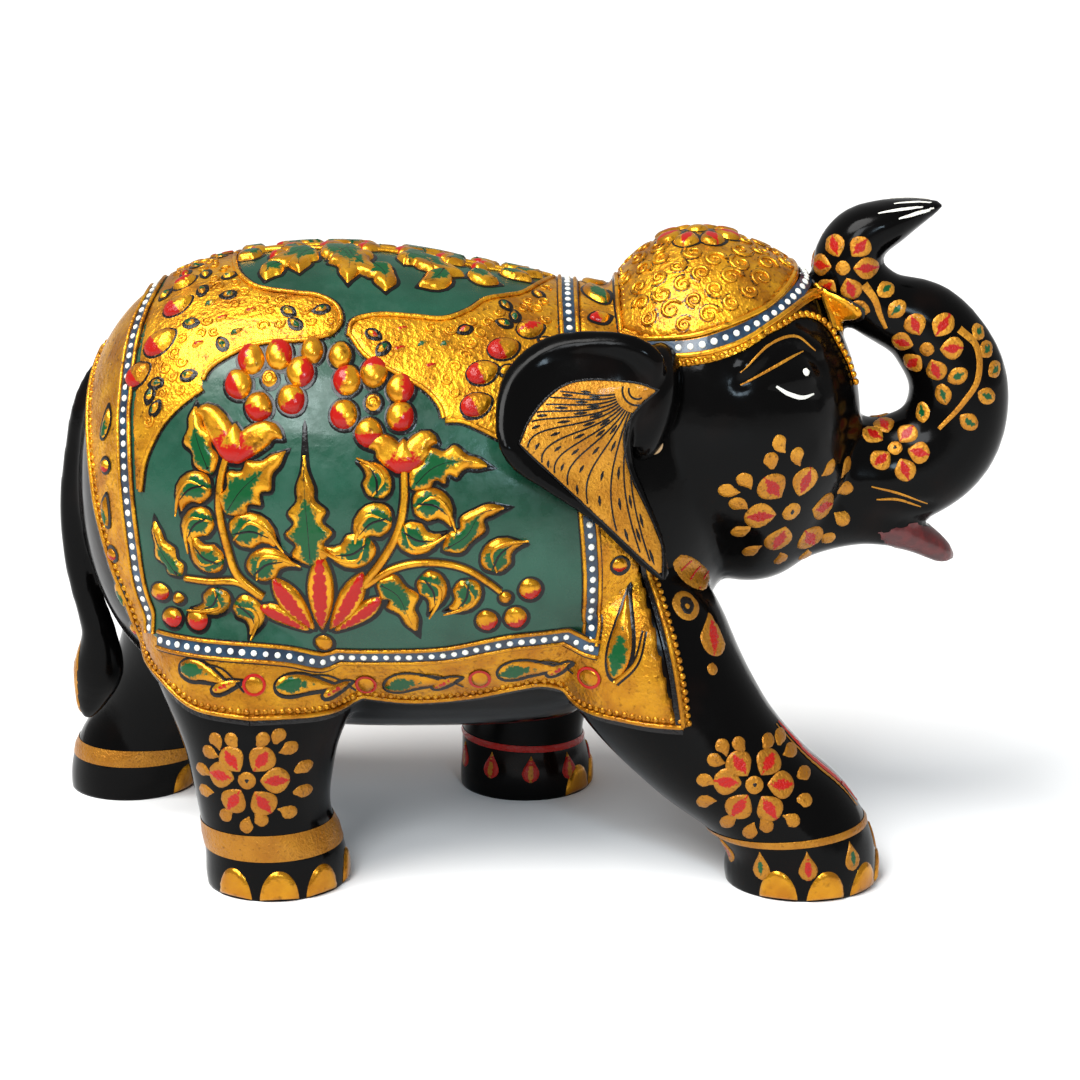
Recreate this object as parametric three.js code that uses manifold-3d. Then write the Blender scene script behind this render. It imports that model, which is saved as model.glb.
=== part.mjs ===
// A carved and painted wooden elephant standing on four feet, its trunk curled back and raised.
// Millimetres, +Z up, +X towards the head, the elephant's right side facing -Y.
// The beast is one block of carved wood with two ears glued on. Over the wood lie thin pieces of
// gesso: the saddle cloth, its borders and beads, the head cap, and the flowers.
import * as THREE from 'three';
import { ParametricGeometry } from 'three/addons/geometries/ParametricGeometry.js';
import { mergeVertices } from 'three/addons/utils/BufferGeometryUtils.js';
import Module from 'manifold-3d';

const wasm = await Module();
wasm.setup();

// Driving dimensions.
const FOOT_SPREAD = 43; // from the middle plane to the middle of each foot
const BELLY_WIDTH = 61.5; // half the width of the barrel
const CLEARANCE = 0.3; // between pieces that touch
const CLOTH = 1.3; // the cloth's outer face above the wood
const RAISED = 2.8; // the outer face of a border or a flower that lies on the cloth
const BEADS = 2.8; // the outer face of a row of beads that lies on the wood
const PETALS = 1.9; // the outer face of a flower or a band that lies on the wood
const FAR = 120; // past the elephant, on either side

const WOOD = { color: 0x14110f, roughness: 0.22, metalness: 0 };
const GOLD = { color: 0xc98a1c, roughness: 0.4, metalness: 0.5 };
const NAVY = { color: 0x10182c, roughness: 0.3, metalness: 0 };
const RED = { color: 0xa01818, roughness: 0.35, metalness: 0 };
const DOWEL = { color: 0xb98d5a, roughness: 0.8, metalness: 0 };

// A rounded limb. Its oval sections follow a line of stations, each
// [x, y, z, half the width across Y, half the depth], and both its ends close.
// A higher squareness keeps the limb full until nearer its ends.
function limb(stations, squareness, rings, sides) {
  const line = new THREE.CatmullRomCurve3(stations.map(([x, y, z]) => new THREE.Vector3(x, y, z)));
  const sizes = new THREE.CatmullRomCurve3(stations.map(([, , , wide, deep]) => new THREE.Vector3(wide, deep, 0)));
  return { line, sizes, squareness, rings, sides };
}

// The solid of a limb whose surface is moved outwards by grow.
function solidLimb({ line, sizes, squareness, rings, sides }, grow = 0) {
  const surface = (around, along, target) => {
    const t = (1 - Math.cos(Math.PI * along)) / 2;
    const ahead = line.getTangent(t);
    const across = new THREE.Vector3(0, 1, 0).addScaledVector(ahead, -ahead.y).normalize();
    const up = new THREE.Vector3().crossVectors(ahead, across);
    const size = sizes.getPoint(t);
    const fullness = Math.sqrt(Math.max(0, 1 - Math.abs(2 * t - 1) ** squareness));
    const angle = 2 * Math.PI * around;
    target.copy(line.getPoint(t)).addScaledVector(ahead, grow * (2 * t - 1));
    target.addScaledVector(across, (size.x + grow) * fullness * Math.cos(angle));
    target.addScaledVector(up, (size.y + grow) * fullness * Math.sin(angle));
  };
  return solid(new ParametricGeometry(surface, sides, rings));
}

// A closed three.js geometry as a solid that can be joined and cut.
function solid(geometry) {
  geometry.deleteAttribute('normal');
  geometry.deleteAttribute('uv');
  const merged = mergeVertices(geometry, 1e-3);
  const corners = Array.from(merged.index.array);
  const kept = [];
  for (let i = 0; i < corners.length; i += 3) {
    const [a, b, c] = corners.slice(i, i + 3);
    if (a !== b && b !== c && c !== a) kept.push(a, b, c);
  }
  const mesh = { numProp: 3, vertProperties: merged.attributes.position.array, triVerts: new Uint32Array(kept) };
  const body = new wasm.Manifold(new wasm.Mesh(mesh));
  if (body.volume() > 0) return body;
  for (let i = 0; i < kept.length; i += 3) [kept[i], kept[i + 1]] = [kept[i + 1], kept[i]];
  return new wasm.Manifold(new wasm.Mesh({ ...mesh, triVerts: new Uint32Array(kept) }));
}

const join = (...solids) => solids.reduce((whole, next) => whole.add(next));

// One named piece of the elephant, without the crumbs that a cut can leave beside it.
function piece(name, body, finish) {
  const [largest] = body.decompose().sort((one, other) => other.volume() - one.volume());
  const { vertProperties, triVerts } = largest.getMesh();
  const geometry = new THREE.BufferGeometry();
  geometry.setAttribute('position', new THREE.BufferAttribute(vertProperties, 3));
  geometry.setIndex(new THREE.BufferAttribute(triVerts, 1));
  const mesh = new THREE.Mesh(geometry, new THREE.MeshStandardMaterial(finish));
  mesh.name = name;
  return mesh;
}

// A prism over an outline drawn in X and Z, running along Y from one place to another.
function prism(outline, from, to) {
  const shape = new THREE.Shape(outline.map(([x, z]) => new THREE.Vector2(x, z)));
  const geometry = new THREE.ExtrudeGeometry(shape, { depth: to - from, bevelEnabled: false });
  return solid(geometry.rotateX(Math.PI / 2).translate(0, to, 0));
}

function slab(low, high) {
  const size = new THREE.Vector3(...high).sub(new THREE.Vector3(...low));
  const centre = new THREE.Vector3(...low).addScaledVector(size, 0.5);
  return solid(new THREE.BoxGeometry(size.x, size.y, size.z).translate(centre.x, centre.y, centre.z));
}

// The carved block: each limb's stations run from its rear or upper end.
const torso = limb([
  [-133.5, 0, 114, 52, 70],
  [-92, 0, 113, 58, 71],
  [-49, 0, 110, BELLY_WIDTH, 73.5],
  [-5, 0, 106.5, 60, 70],
  [28, 0, 106, 54, 66.6],
  [68, 0, 97, 48.5, 56],
], 4.6, 16, 20);
const head = limb([
  [49.5, 0, 188.5, 37, 36],
  [55.5, 0, 163, 42, 43],
  [61.5, 0, 137, 43, 43],
  [70, 0, 111, 41, 41],
  [79, 0, 83, 38, 36],
], 2, 11, 16);
const jaw = limb([
  [58, 0, 104, 34, 26],
  [88, 0, 106, 22, 18],
  [110, 0, 101, 13, 8],
  [124, 0, 95.5, 9, 5],
  [135.5, 0, 88, 5, 3.5],
], 8, 8, 10);
const trunk = limb([
  [84, 0, 118, 26, 26],
  [112, 0, 115, 17, 18.5],
  [131, 0, 125, 15, 16.5],
  [135, 0, 144, 14, 15],
  [124.5, 0, 161, 13, 13.5],
  [109, 0, 168.5, 12, 10.5],
  [100, 0, 178, 12, 10.5],
  [103, 0, 187.5, 12, 9.5],
  [114, 0, 193.5, 11, 7],
  [129, 0, 198.5, 6, 2.5],
], 9, 24, 12);
const tail = limb([
  [-122, 0, 152, 4.5, 6],
  [-130, 0, 140, 4.5, 4.5],
  [-134, 0, 124, 4.5, 4.5],
  [-136.7, 0, 103, 4.5, 4.5],
  [-135.5, 2, 82, 4.5, 4.5],
  [-131.5, 5, 63, 5.5, 5.5],
  [-132.5, 8, 50, 7, 8],
  [-136, 10, 38, 4.5, 5],
  [-137.5, 10, 32, 2.5, 2.5],
], 10, 14, 8);
const legs = {
  front_right: limb([
    [28, -25, 96, 27, 30],
    [40, -33, 66, 26, 27],
    [57, -39, 43, 22.5, 22],
    [73, -42.5, 28, 21, 19],
    [82.5, -FOOT_SPREAD, 17, 21, 21],
    [85.5, -FOOT_SPREAD, 8, 22, 23.5],
    [87, -FOOT_SPREAD, -14, 24, 27],
  ], 8, 9, 12),
  front_left: limb([
    [22, 25, 96, 27, 30],
    [13, 35, 62, 25, 27],
    [4, 42, 34, 20, 20.5],
    [1.5, FOOT_SPREAD, 18, 19.5, 20],
    [2.5, FOOT_SPREAD, 6, 21, 22],
    [3, FOOT_SPREAD, -14, 23, 24],
  ], 8, 9, 12),
  rear_right: limb([
    [-74, -26, 98, 29, 42],
    [-76, -34, 66, 26, 34],
    [-76, -41.5, 40, 21.5, 22.5],
    [-75, -FOOT_SPREAD, 20, 19.5, 19.5],
    [-72.5, -FOOT_SPREAD, 7, 21, 21.5],
    [-71, -FOOT_SPREAD, -14, 23, 23.5],
  ], 8, 9, 12),
  rear_left: limb([
    [-84, 27, 96, 29, 34],
    [-98, 35, 66, 26, 28],
    [-112, 41.5, 38, 21, 22],
    [-122, FOOT_SPREAD, 19, 19.5, 19.5],
    [-127.5, FOOT_SPREAD, 7, 21, 21],
    [-129.5, FOOT_SPREAD, -14, 23, 23],
  ], 8, 9, 12),
};
const limbs = [torso, head, jaw, trunk, tail, ...Object.values(legs)];
const floor = slab([-250, -FAR, -60], [250, FAR, 0]);
const block = (grow) => join(...limbs.map((each) => solidLimb(each, grow))).subtract(floor);
const wood = block(0);
const woodAndGap = block(CLEARANCE);

// An ear is a fan as tall as the head, bowed away from it, with a thick root against the cheek.
// Its rim is drawn in X and Z and the bow gives Y.
const EAR_MIDDLE = new THREE.Vector3(20, 0, 143);
const EAR_THICKNESS = 5.5;
const EAR_RIM = [
  [36, 166], [22, 167.5], [8, 165], [-3, 156], [-5.5, 143], [-1, 132], [9, 124.5], [23.6, 113.8], [35.2, 102.2],
  [44, 96], [43.5, 107], [38.5, 120], [34.5, 131], [35, 142], [41, 150], [43, 160],
];
const earBow = (x, z) => {
  const back = 40 - x;
  return 48 + 0.4 * back + 0.3 * Math.max(0, 130 - z) - 0.02 * back * Math.max(0, z - 138);
};

function fan(side) {
  const rim = new THREE.CatmullRomCurve3(EAR_RIM.map(([x, z]) => new THREE.Vector3(x, 0, z)), true);
  const surface = (around, across, target) => {
    const reach = Math.sin(Math.PI * across);
    const edge = rim.getPoint(around % 1).sub(EAR_MIDDLE).multiplyScalar(reach).add(EAR_MIDDLE);
    const half = (EAR_THICKNESS / 2) * Math.cos(Math.PI * across) * (1 - 0.3 * reach);
    target.set(edge.x, side * (earBow(edge.x, edge.z) + half), edge.z);
  };
  return solid(new ParametricGeometry(surface, 26, 8));
}

function earRoot(side) {
  const root = new THREE.SphereGeometry(1, 12, 8).scale(9, 15, 19);
  return solid(root.rotateY(0.25).translate(39, side * 36, 144));
}

const DOWEL_RADIUS = 3;
const DOWEL_PLACES = { upper: [41, 151], lower: [40, 134] };
const DOWEL_ENDS = [26, 44.5];

function dowel(side, [x, z], grow) {
  const length = DOWEL_ENDS[1] - DOWEL_ENDS[0] + 2 * grow;
  const round = new THREE.CylinderGeometry(DOWEL_RADIUS + grow, DOWEL_RADIUS + grow, length, 16);
  return solid(round.translate(x, (side * (DOWEL_ENDS[0] + DOWEL_ENDS[1])) / 2, z));
}

// The layers in which the gesso lies, each from one height above the wood to another.
const hide = (grow) => join(...[torso, ...Object.values(legs)].map((each) => solidLimb(each, grow)));
const clothLayer = hide(CLOTH).subtract(woodAndGap);
const raisedLayer = hide(RAISED).subtract(hide(CLOTH + CLEARANCE)).subtract(woodAndGap);
const beadLayer = hide(BEADS).subtract(woodAndGap);
const capLayer = solidLimb(head, CLOTH).subtract(woodAndGap);
const capBeadLayer = solidLimb(head, BEADS).subtract(woodAndGap);

// The outlines below are drawn in X and Z, as they are seen from either side.
// The cloth hangs from the back, its hem rising to a small peak between the legs.
const CLOTH_EDGE = [
  [-150, 200], [-150, 158], [-127, 104], [-124, 84], [-117, 70], [-104, 62], [-94, 57], [-78, 55], [-54, 56],
  [-31, 56.5], [-14, 58], [0, 61], [7, 62.5], [17, 57], [33, 54], [49, 52], [45, 65], [41, 82], [36, 100],
  [28, 114], [23.5, 126], [19, 166], [19, 200],
];
// The same outline let out by the width of a row of beads.
const BEAD_EDGE = [
  [-160, 210], [-160, 148], [-131, 103], [-127.6, 83], [-119.6, 67], [-105.6, 58.2], [-94.6, 53], [-78, 51],
  [-54, 52], [-31, 52.5], [-13.4, 54], [0, 56.8], [6.8, 58], [17, 52.8], [33, 49.8], [54.4, 47.4], [48.8, 66],
  [44.8, 83], [39, 101], [28, 113.8], [23.3, 126], [18.8, 166], [18, 210],
];
// The dotted border frames the middle of the cloth, down both flanks and over the back.
const BORDER_OUTSIDE = [
  [-106, 200], [-110.8, 163], [-114, 156], [-114.7, 141], [-113.7, 124], [-112.6, 106], [-108.6, 81], [-106.4, 74],
  [-67, 71.6], [-54, 68.6], [-21, 69.6], [-2.6, 73.8], [24.6, 73], [23, 116], [18.2, 165], [18.2, 200],
];
const BORDER_INSIDE = [
  [-100, 201], [-105.4, 163], [-108.6, 155], [-109.3, 141], [-108.3, 124], [-107.3, 106], [-103.4, 82], [-102, 79],
  [-67, 77.2], [-54, 74], [-21, 75], [-2.6, 79.2], [19.4, 78.4], [17.8, 116], [12.8, 165], [12.8, 201],
];
// Gold panels fill the upper corners inside the border, each ending in a tongue.
const REAR_PANEL = [
  [-99, 200], [-104.6, 163], [-107.8, 155], [-108.5, 141], [-107.7, 122], [-102, 137], [-99, 144], [-90.5, 150.8],
  [-87, 156], [-79, 160.6], [-59, 163.8], [-52.5, 165.4], [-50.2, 168], [-52, 171], [-57, 173.2], [-75, 173.8],
  [-81, 175.6], [-83.5, 178], [-84, 200],
];
const FRONT_PANEL = [
  [-47.5, 166.5], [-42.4, 160], [-33, 155], [-25, 150.6], [-21, 146], [-19.6, 142.6], [-14, 142], [-5, 138],
  [6, 131], [16.2, 126], [12, 165], [12, 174.6], [6, 174], [1, 173.2], [-3, 172.4], [-9, 171.6], [-13.5, 169.6],
  [-20, 168.4], [-30, 169.2], [-40, 170.4], [-46, 169.6],
];
const LOTUS = [
  [-55, 76.6], [-49, 83], [-38, 88], [-41, 92], [-47, 92], [-43, 101], [-51, 97], [-54.6, 106], [-58, 97], [-66, 100],
  [-62, 92], [-70, 90], [-61, 84],
];
// The cap is a dome over the forehead, the neck band a collar behind it.
const NECK_BAND = [[19.6, 200], [19.6, 168], [23, 142], [31, 139], [31, 200]];
const CAP_EDGE = [
  [33, 205], [31.6, 175], [32, 161], [46, 160.6], [57, 161.8], [66, 164.4], [78, 169.6], [86, 176], [96, 205],
];
const CAP_BEAD_EDGE = [
  [31.7, 205], [31.4, 176], [31.6, 156], [46, 155.8], [58, 157], [67.6, 159.8], [79, 164.8], [87, 166], [93, 160],
  [99, 160], [99, 205],
];

// A round flower head with six petals, about a middle in X and Z.
function rosette([x, z], radius) {
  const STEPS = 30;
  const outline = [];
  for (let i = 0; i < STEPS; i += 1) {
    const angle = (2 * Math.PI * i) / STEPS;
    const reach = radius * (0.86 + 0.14 * Math.cos(6 * angle));
    outline.push([x + reach * Math.cos(angle), z + reach * Math.sin(angle)]);
  }
  return outline;
}

const elephant = new THREE.Group();
const sides = { right: -1, left: 1 };
const onSide = (outline, side) => (side < 0 ? prism(outline, -FAR, -1) : prism(outline, 1, FAR));
const through = (outline) => prism(outline, -FAR, FAR);
const ring = (outside, inside) => through(outside).subtract(prism(inside, -FAR - 1, FAR + 1));
const add = (name, body, finish) => elephant.add(piece(name, body, finish));

// The block and its ears, which lie against the cloth, the collar and the cap's fringe, with their dowels.
const aboveFringe = slab([0, -FAR, 155], [FAR, FAR, 200]);
const fringe = solidLimb(head, BEADS + CLEARANCE).intersect(aboveFringe);
const underEar = join(woodAndGap, hide(CLOTH + CLEARANCE), fringe);
const dowelHoles = [];
for (const [sideName, side] of Object.entries(sides)) {
  for (const [level, place] of Object.entries(DOWEL_PLACES)) {
    add(`ear_dowel_${sideName}_${level}`, dowel(side, place, 0), DOWEL);
    dowelHoles.push(dowel(side, place, CLEARANCE));
  }
}
const holes = join(...dowelHoles);
add('carved_body', wood.subtract(holes), WOOD);
for (const [sideName, side] of Object.entries(sides)) {
  add(`ear_${sideName}`, join(fan(side), earRoot(side)).subtract(underEar).subtract(holes), WOOD);
}

// The cloth, and all that lies along its edge and on it.
const openBelow = slab([-200, -28, 0], [200, 28, 104]); // the cloth meets neither under the chest nor the tail
add('saddle_cloth', clothLayer.intersect(through(CLOTH_EDGE)).subtract(openBelow), GOLD);
const SHORTEST_ROW = 300; // mm3: the hem's beads break where no wood lies under them
const beadRing = beadLayer.intersect(ring(BEAD_EDGE, CLOTH_EDGE)).subtract(openBelow);
add('saddle_border', raisedLayer.intersect(ring(BORDER_OUTSIDE, BORDER_INSIDE)), NAVY);
add('arch_panel_rear', raisedLayer.intersect(through(REAR_PANEL)), GOLD);
for (const [sideName, side] of Object.entries(sides)) {
  const half = slab([-200, Math.min(side, side * FAR), 0], [200, Math.max(side, side * FAR), 200]);
  const rows = beadRing.intersect(half).decompose().filter((row) => row.volume() > SHORTEST_ROW);
  rows.forEach((row, i) => add(`saddle_bead_edging_${sideName}_${i + 1}`, row, GOLD));
  add(`arch_panel_front_${sideName}`, raisedLayer.intersect(onSide(FRONT_PANEL, side)), GOLD);
  add(`lotus_${sideName}`, raisedLayer.intersect(onSide(LOTUS, side)), RED);
  add(`berry_flower_rear_${sideName}`, raisedLayer.intersect(onSide(rosette([-69.5, 151.5], 9.2), side)), RED);
  add(`berry_flower_front_${sideName}`, raisedLayer.intersect(onSide(rosette([-40.8, 147], 9.2), side)), RED);
}

// Flowers on the cheeks and the legs, and the painted bands round the ankles.
const CHEEK_FLOWER = rosette([81, 112], 11.5);
const LEG_FLOWERS = { front_right: [69.5, 36], front_left: [5, 38], rear_right: [-77.5, 38], rear_left: [-113, 38] };
const ANKLETS = { front: [16.8, 19.2], rear: [12.4, 20.4] };
const petalLayer = (part) => solidLimb(part, PETALS).subtract(woodAndGap);
for (const [sideName, side] of Object.entries(sides)) {
  add(`cheek_flower_${sideName}`, petalLayer(head).intersect(onSide(CHEEK_FLOWER, side)), GOLD);
  for (const end of ['front', 'rear']) {
    const name = `${end}_${sideName}`;
    const [low, high] = ANKLETS[end];
    const outer = onSide(rosette(LEG_FLOWERS[name], 10.5), side).subtract(slab([-200, -30, 0], [200, 30, 100]));
    add(`leg_flower_${name}`, petalLayer(legs[name]).intersect(outer), GOLD);
    add(`anklet_${name}`, petalLayer(legs[name]).intersect(slab([-200, -FAR, low], [200, FAR, high])), GOLD);
  }
}

// The cap and collar.
add('neck_band', clothLayer.intersect(through(NECK_BAND)), GOLD);
add('head_cap', capLayer.intersect(through(CAP_EDGE)), GOLD);
add('cap_bead_fringe', capBeadLayer.intersect(ring(CAP_BEAD_EDGE, CAP_EDGE)), GOLD);

// The origin is the middle of the bounding box, on the plane that the feet stand on.
const middle = new THREE.Box3().setFromObject(elephant).getCenter(new THREE.Vector3());
elephant.position.set(-middle.x, -middle.y, 0);

export default elephant;
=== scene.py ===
import math
import random

import bmesh
import bpy
import numpy as np
from mathutils import Matrix, Vector
from mathutils.bvhtree import BVHTree
from mathutils.geometry import delaunay_2d_cdt


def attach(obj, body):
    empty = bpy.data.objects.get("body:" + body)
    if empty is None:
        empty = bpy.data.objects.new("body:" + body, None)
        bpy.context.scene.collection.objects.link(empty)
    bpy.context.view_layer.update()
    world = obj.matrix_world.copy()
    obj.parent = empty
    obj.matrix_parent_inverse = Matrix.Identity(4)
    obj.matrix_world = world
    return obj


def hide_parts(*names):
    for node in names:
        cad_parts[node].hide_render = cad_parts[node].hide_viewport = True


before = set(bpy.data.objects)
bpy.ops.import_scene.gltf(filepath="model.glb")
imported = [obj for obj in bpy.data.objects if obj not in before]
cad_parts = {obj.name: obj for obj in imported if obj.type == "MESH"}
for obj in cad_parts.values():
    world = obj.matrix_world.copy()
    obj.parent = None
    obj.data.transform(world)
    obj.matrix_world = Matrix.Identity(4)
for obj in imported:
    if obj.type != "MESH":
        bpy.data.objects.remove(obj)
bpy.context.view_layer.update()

# The carved block: barrel, neck, head, jaw, raised trunk, tail and four legs, all cut from one
# piece of wood and lacquered glossy black. Everything is worked out in millimetres.
MM = 0.001
MIDDLE = (-0.8, 0.45, 0)  # from the middle of the barrel to the frame's origin
FOOT_SPREAD = 43
# For each limb: how blunt its ends are, and its stations, each x, y, z, half width and half depth.
LIMBS = {
    "torso": (4.6, [
        (-133.5, 0, 114, 52, 70), (-92, 0, 113, 58, 71), (-49, 0, 110, 61.5, 73.5),
        (-5, 0, 106.5, 60, 70), (28, 0, 106, 54, 66.6), (68, 0, 97, 48.5, 56)]),
    "head": (2, [
        (49.5, 0, 188.5, 37, 36), (55.5, 0, 163, 42, 43), (61.5, 0, 137, 43, 43),
        (70, 0, 111, 41, 41), (79, 0, 83, 38, 36)]),
    "jaw": (8, [
        (58, 0, 104, 34, 26), (88, 0, 106, 22, 18), (110, 0, 101, 13, 8), (124, 0, 95.5, 9, 5),
        (135.5, 0, 88, 5, 3.5)]),
    "trunk": (9, [
        (84, 0, 118, 26, 26), (112, 0, 115, 17, 18.5), (131, 0, 125, 15, 16.5),
        (135, 0, 144, 14, 15), (124.5, 0, 161, 13, 13.5), (109, 0, 168.5, 12, 10.5),
        (100, 0, 178, 12, 10.5), (103, 0, 187.5, 12, 9.5), (114, 0, 193.5, 11, 7),
        (129, 0, 198.5, 6, 2.5)]),
    "tail": (10, [
        (-122, 0, 152, 4.5, 6), (-130, 0, 140, 4.5, 4.5), (-134, 0, 124, 4.5, 4.5),
        (-136.7, 0, 103, 4.5, 4.5), (-135.5, 2, 82, 4.5, 4.5), (-131.5, 5, 63, 5.5, 5.5),
        (-132.5, 8, 50, 7, 8), (-136, 10, 38, 4.5, 5), (-137.5, 10, 32, 2.5, 2.5)]),
    "front_right": (8, [
        (28, -25, 96, 27, 30), (40, -33, 66, 26, 27), (57, -39, 43, 22.5, 22),
        (73, -42.5, 28, 21, 19), (82.5, -FOOT_SPREAD, 17, 21, 21),
        (85.5, -FOOT_SPREAD, 8, 22, 23.5), (87, -FOOT_SPREAD, -14, 24, 27)]),
    "front_left": (8, [
        (22, 25, 96, 27, 30), (13, 35, 62, 25, 27), (4, 42, 34, 20, 20.5),
        (1.5, FOOT_SPREAD, 18, 19.5, 20), (2.5, FOOT_SPREAD, 6, 21, 22),
        (3, FOOT_SPREAD, -14, 23, 24)]),
    "rear_right": (8, [
        (-74, -26, 98, 29, 42), (-76, -34, 66, 26, 34), (-76, -41.5, 40, 21.5, 22.5),
        (-75, -FOOT_SPREAD, 20, 19.5, 19.5), (-72.5, -FOOT_SPREAD, 7, 21, 21.5),
        (-71, -FOOT_SPREAD, -14, 23, 23.5)]),
    "rear_left": (8, [
        (-84, 27, 96, 29, 34), (-98, 35, 66, 26, 28), (-112, 41.5, 38, 21, 22),
        (-122, FOOT_SPREAD, 19, 19.5, 19.5), (-127.5, FOOT_SPREAD, 7, 21, 21),
        (-129.5, FOOT_SPREAD, -14, 23, 23)]),
}
CHISEL, SANDINGS = 1.498, 9  # the facets that the chisel leaves, and how often they are sanded
CUTS_AHEAD_OF = 55  # the cuts all lie ahead of this x


def through(points, t):
    """Places along a smooth line through points, t running from 0 to 1."""
    points = np.array(points, float)
    ends = np.vstack([2 * points[0] - points[1], points, 2 * points[-1] - points[-2]])
    place = np.clip(np.atleast_1d(np.array(t, float)), 0, 1) * (len(points) - 1)
    i = np.minimum(place.astype(int), len(points) - 2)
    w = (place - i)[:, None]
    a, b, c, d = (ends[i + k] for k in range(4))
    near, mid, far = (np.maximum(np.linalg.norm(q - p, axis=1) ** 0.5, 1e-4)[:, None]
                      for p, q in ((a, b), (b, c), (c, d)))
    out = ((b - a) / near - (c - a) / (near + mid) + (c - b) / mid) * mid
    back = ((c - b) / mid - (d - b) / (mid + far) + (d - c) / far) * mid
    bend = 3 * (c - b) - 2 * out - back
    twist = 2 * (b - c) + out + back
    return b + w * out + w ** 2 * bend + w ** 3 * twist


def unit(rows):
    return rows / np.maximum(np.linalg.norm(rows, axis=-1, keepdims=True), 1e-9)


def limb(bm, bluntness, stations):
    """A rounded limb with oval sections, closed at both ends."""
    verts = bmesh.ops.create_uvsphere(bm, u_segments=48, v_segments=72, radius=1)["verts"]
    ball = np.array([v.co for v in verts])
    t = (1 - ball[:, 2]) / 2
    turn = np.arctan2(ball[:, 1], ball[:, 0])
    line = [s[:3] for s in stations]
    size = through([s[3:] for s in stations], t)
    ahead = unit(through(line, t + 1e-4) - through(line, t - 1e-4))
    across = unit(np.array([0, 1, 0]) - ahead * ahead[:, 1:2])
    up = np.cross(ahead, across)
    full = np.sqrt(np.maximum(0, 1 - np.abs(2 * t - 1) ** bluntness))
    place = through(line, t) + across * (size[:, 0] * full * np.cos(turn))[:, None]
    place += up * (size[:, 1] * full * np.sin(turn))[:, None] + np.array(MIDDLE)
    for v, co in zip(verts, place):
        v.co = co


def sanded(name, bm, grain, rounds):
    """The joined forms as one skin with quads of that grain, smoothed over."""
    mesh = bpy.data.meshes.new(name)
    bmesh.ops.recalc_face_normals(bm, faces=bm.faces)
    bm.to_mesh(mesh)
    bm.free()
    solid = bpy.data.objects.new(name, mesh)
    bpy.context.scene.collection.objects.link(solid)
    remesh = solid.modifiers.new("skin", "REMESH")
    remesh.mode = "VOXEL"
    remesh.voxel_size = grain
    smooth = solid.modifiers.new("sanding", "SMOOTH")
    smooth.factor = 0.5
    smooth.iterations = rounds
    done = solid.evaluated_get(bpy.context.evaluated_depsgraph_get())
    solid.data = bpy.data.meshes.new_from_object(done)
    solid.modifiers.clear()
    bpy.data.meshes.remove(mesh)
    solid.data.name = name
    return solid


def near_line(places, line):
    """How far each place is from a line of points."""
    line = np.array(line, float)
    a, b = line[:-1], line[1:]
    along = b - a
    rel = places[:, None] - a[None]
    h = np.clip((rel * along).sum(-1) / np.maximum((along ** 2).sum(-1), 1e-9), 0, 1)
    return np.linalg.norm(rel - h[..., None] * along, axis=-1).min(1)


def skin_of(mesh):
    """A mesh as something to cast onto: its tree, faces, vertex places and normals."""
    places = [v.co.copy() for v in mesh.vertices]
    faces = [tuple(p.vertices) for p in mesh.polygons]
    normals = [n.vector.copy() for n in mesh.vertex_normals]
    return BVHTree.FromPolygons(places, faces), faces, places, normals


def metres(obj):
    """Turns a finished piece from millimetres to metres."""
    obj.data.transform(Matrix.Scale(MM, 4))
    return obj


block = bmesh.new()
for bluntness, stations in LIMBS.values():
    limb(block, bluntness, stations)
wood = sanded("carved_wood", block, CHISEL, SANDINGS)

# Cuts of the knife round the eye and along the mouth: depth, width and the line on the right side.
CUTS = [
    (0.9, 1.7, [(64.6, -39.3, 150.7), (73, -35.5, 154.8), (83.6, -29, 158.5), (88, -27, 154)]),
    (-1.3, 2.6, [(66, -38.6, 156), (73.5, -33.1, 162.6), (81.2, -28.1, 163.8), (88.4, -24.5, 158.6)]),
    (-1.2, 3.6, [(79, -34.5, 152), (84, -31.5, 152.4)]),
    (0.9, 1.8, [(74, -38, 148.2), (80, -35, 145.6), (87, -31, 144.4)]),
    (1.1, 1.5, [(101, -19, 113.8), (108.3, -15.4, 112.9), (116, -14, 110.6), (125, -12, 107.6)]),
    (-1.0, 5.0, [(86, -30, 128), (97, -20, 118), (108, -16, 116)]),
    (-1.2, 7.0, [(74, -12, 178), (84, -10, 169), (92, -9, 156), (97, -9, 142), (101, -8, 132)]),
]
places = np.array([v.co for v in wood.data.vertices])
normals = np.array([n.vector for n in wood.data.vertex_normals])
mirrored = places * (1, -1, 1)
for depth, wide, line in CUTS:
    for seen in (places, mirrored):
        close = seen[:, 0] > CUTS_AHEAD_OF
        dip = np.exp(-(near_line(seen[close], line) / wide) ** 2)
        places[close] -= normals[close] * (dip * depth)[:, None]
wood.data.vertices.foreach_set("co", places.ravel())

foot = bmesh.new()
foot.from_mesh(wood.data)
geometry = foot.verts[:] + foot.edges[:] + foot.faces[:]
# the soles are sawn flat
bmesh.ops.bisect_plane(foot, geom=geometry, plane_co=(0, 0, 0), plane_no=(0, 0, 1), clear_inner=True)
bmesh.ops.holes_fill(foot, edges=[e for e in foot.edges if e.is_boundary], sides=0)
foot.to_mesh(wood.data)
foot.free()
wood.data.shade_smooth()
SKIN = skin_of(wood.data)


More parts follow.
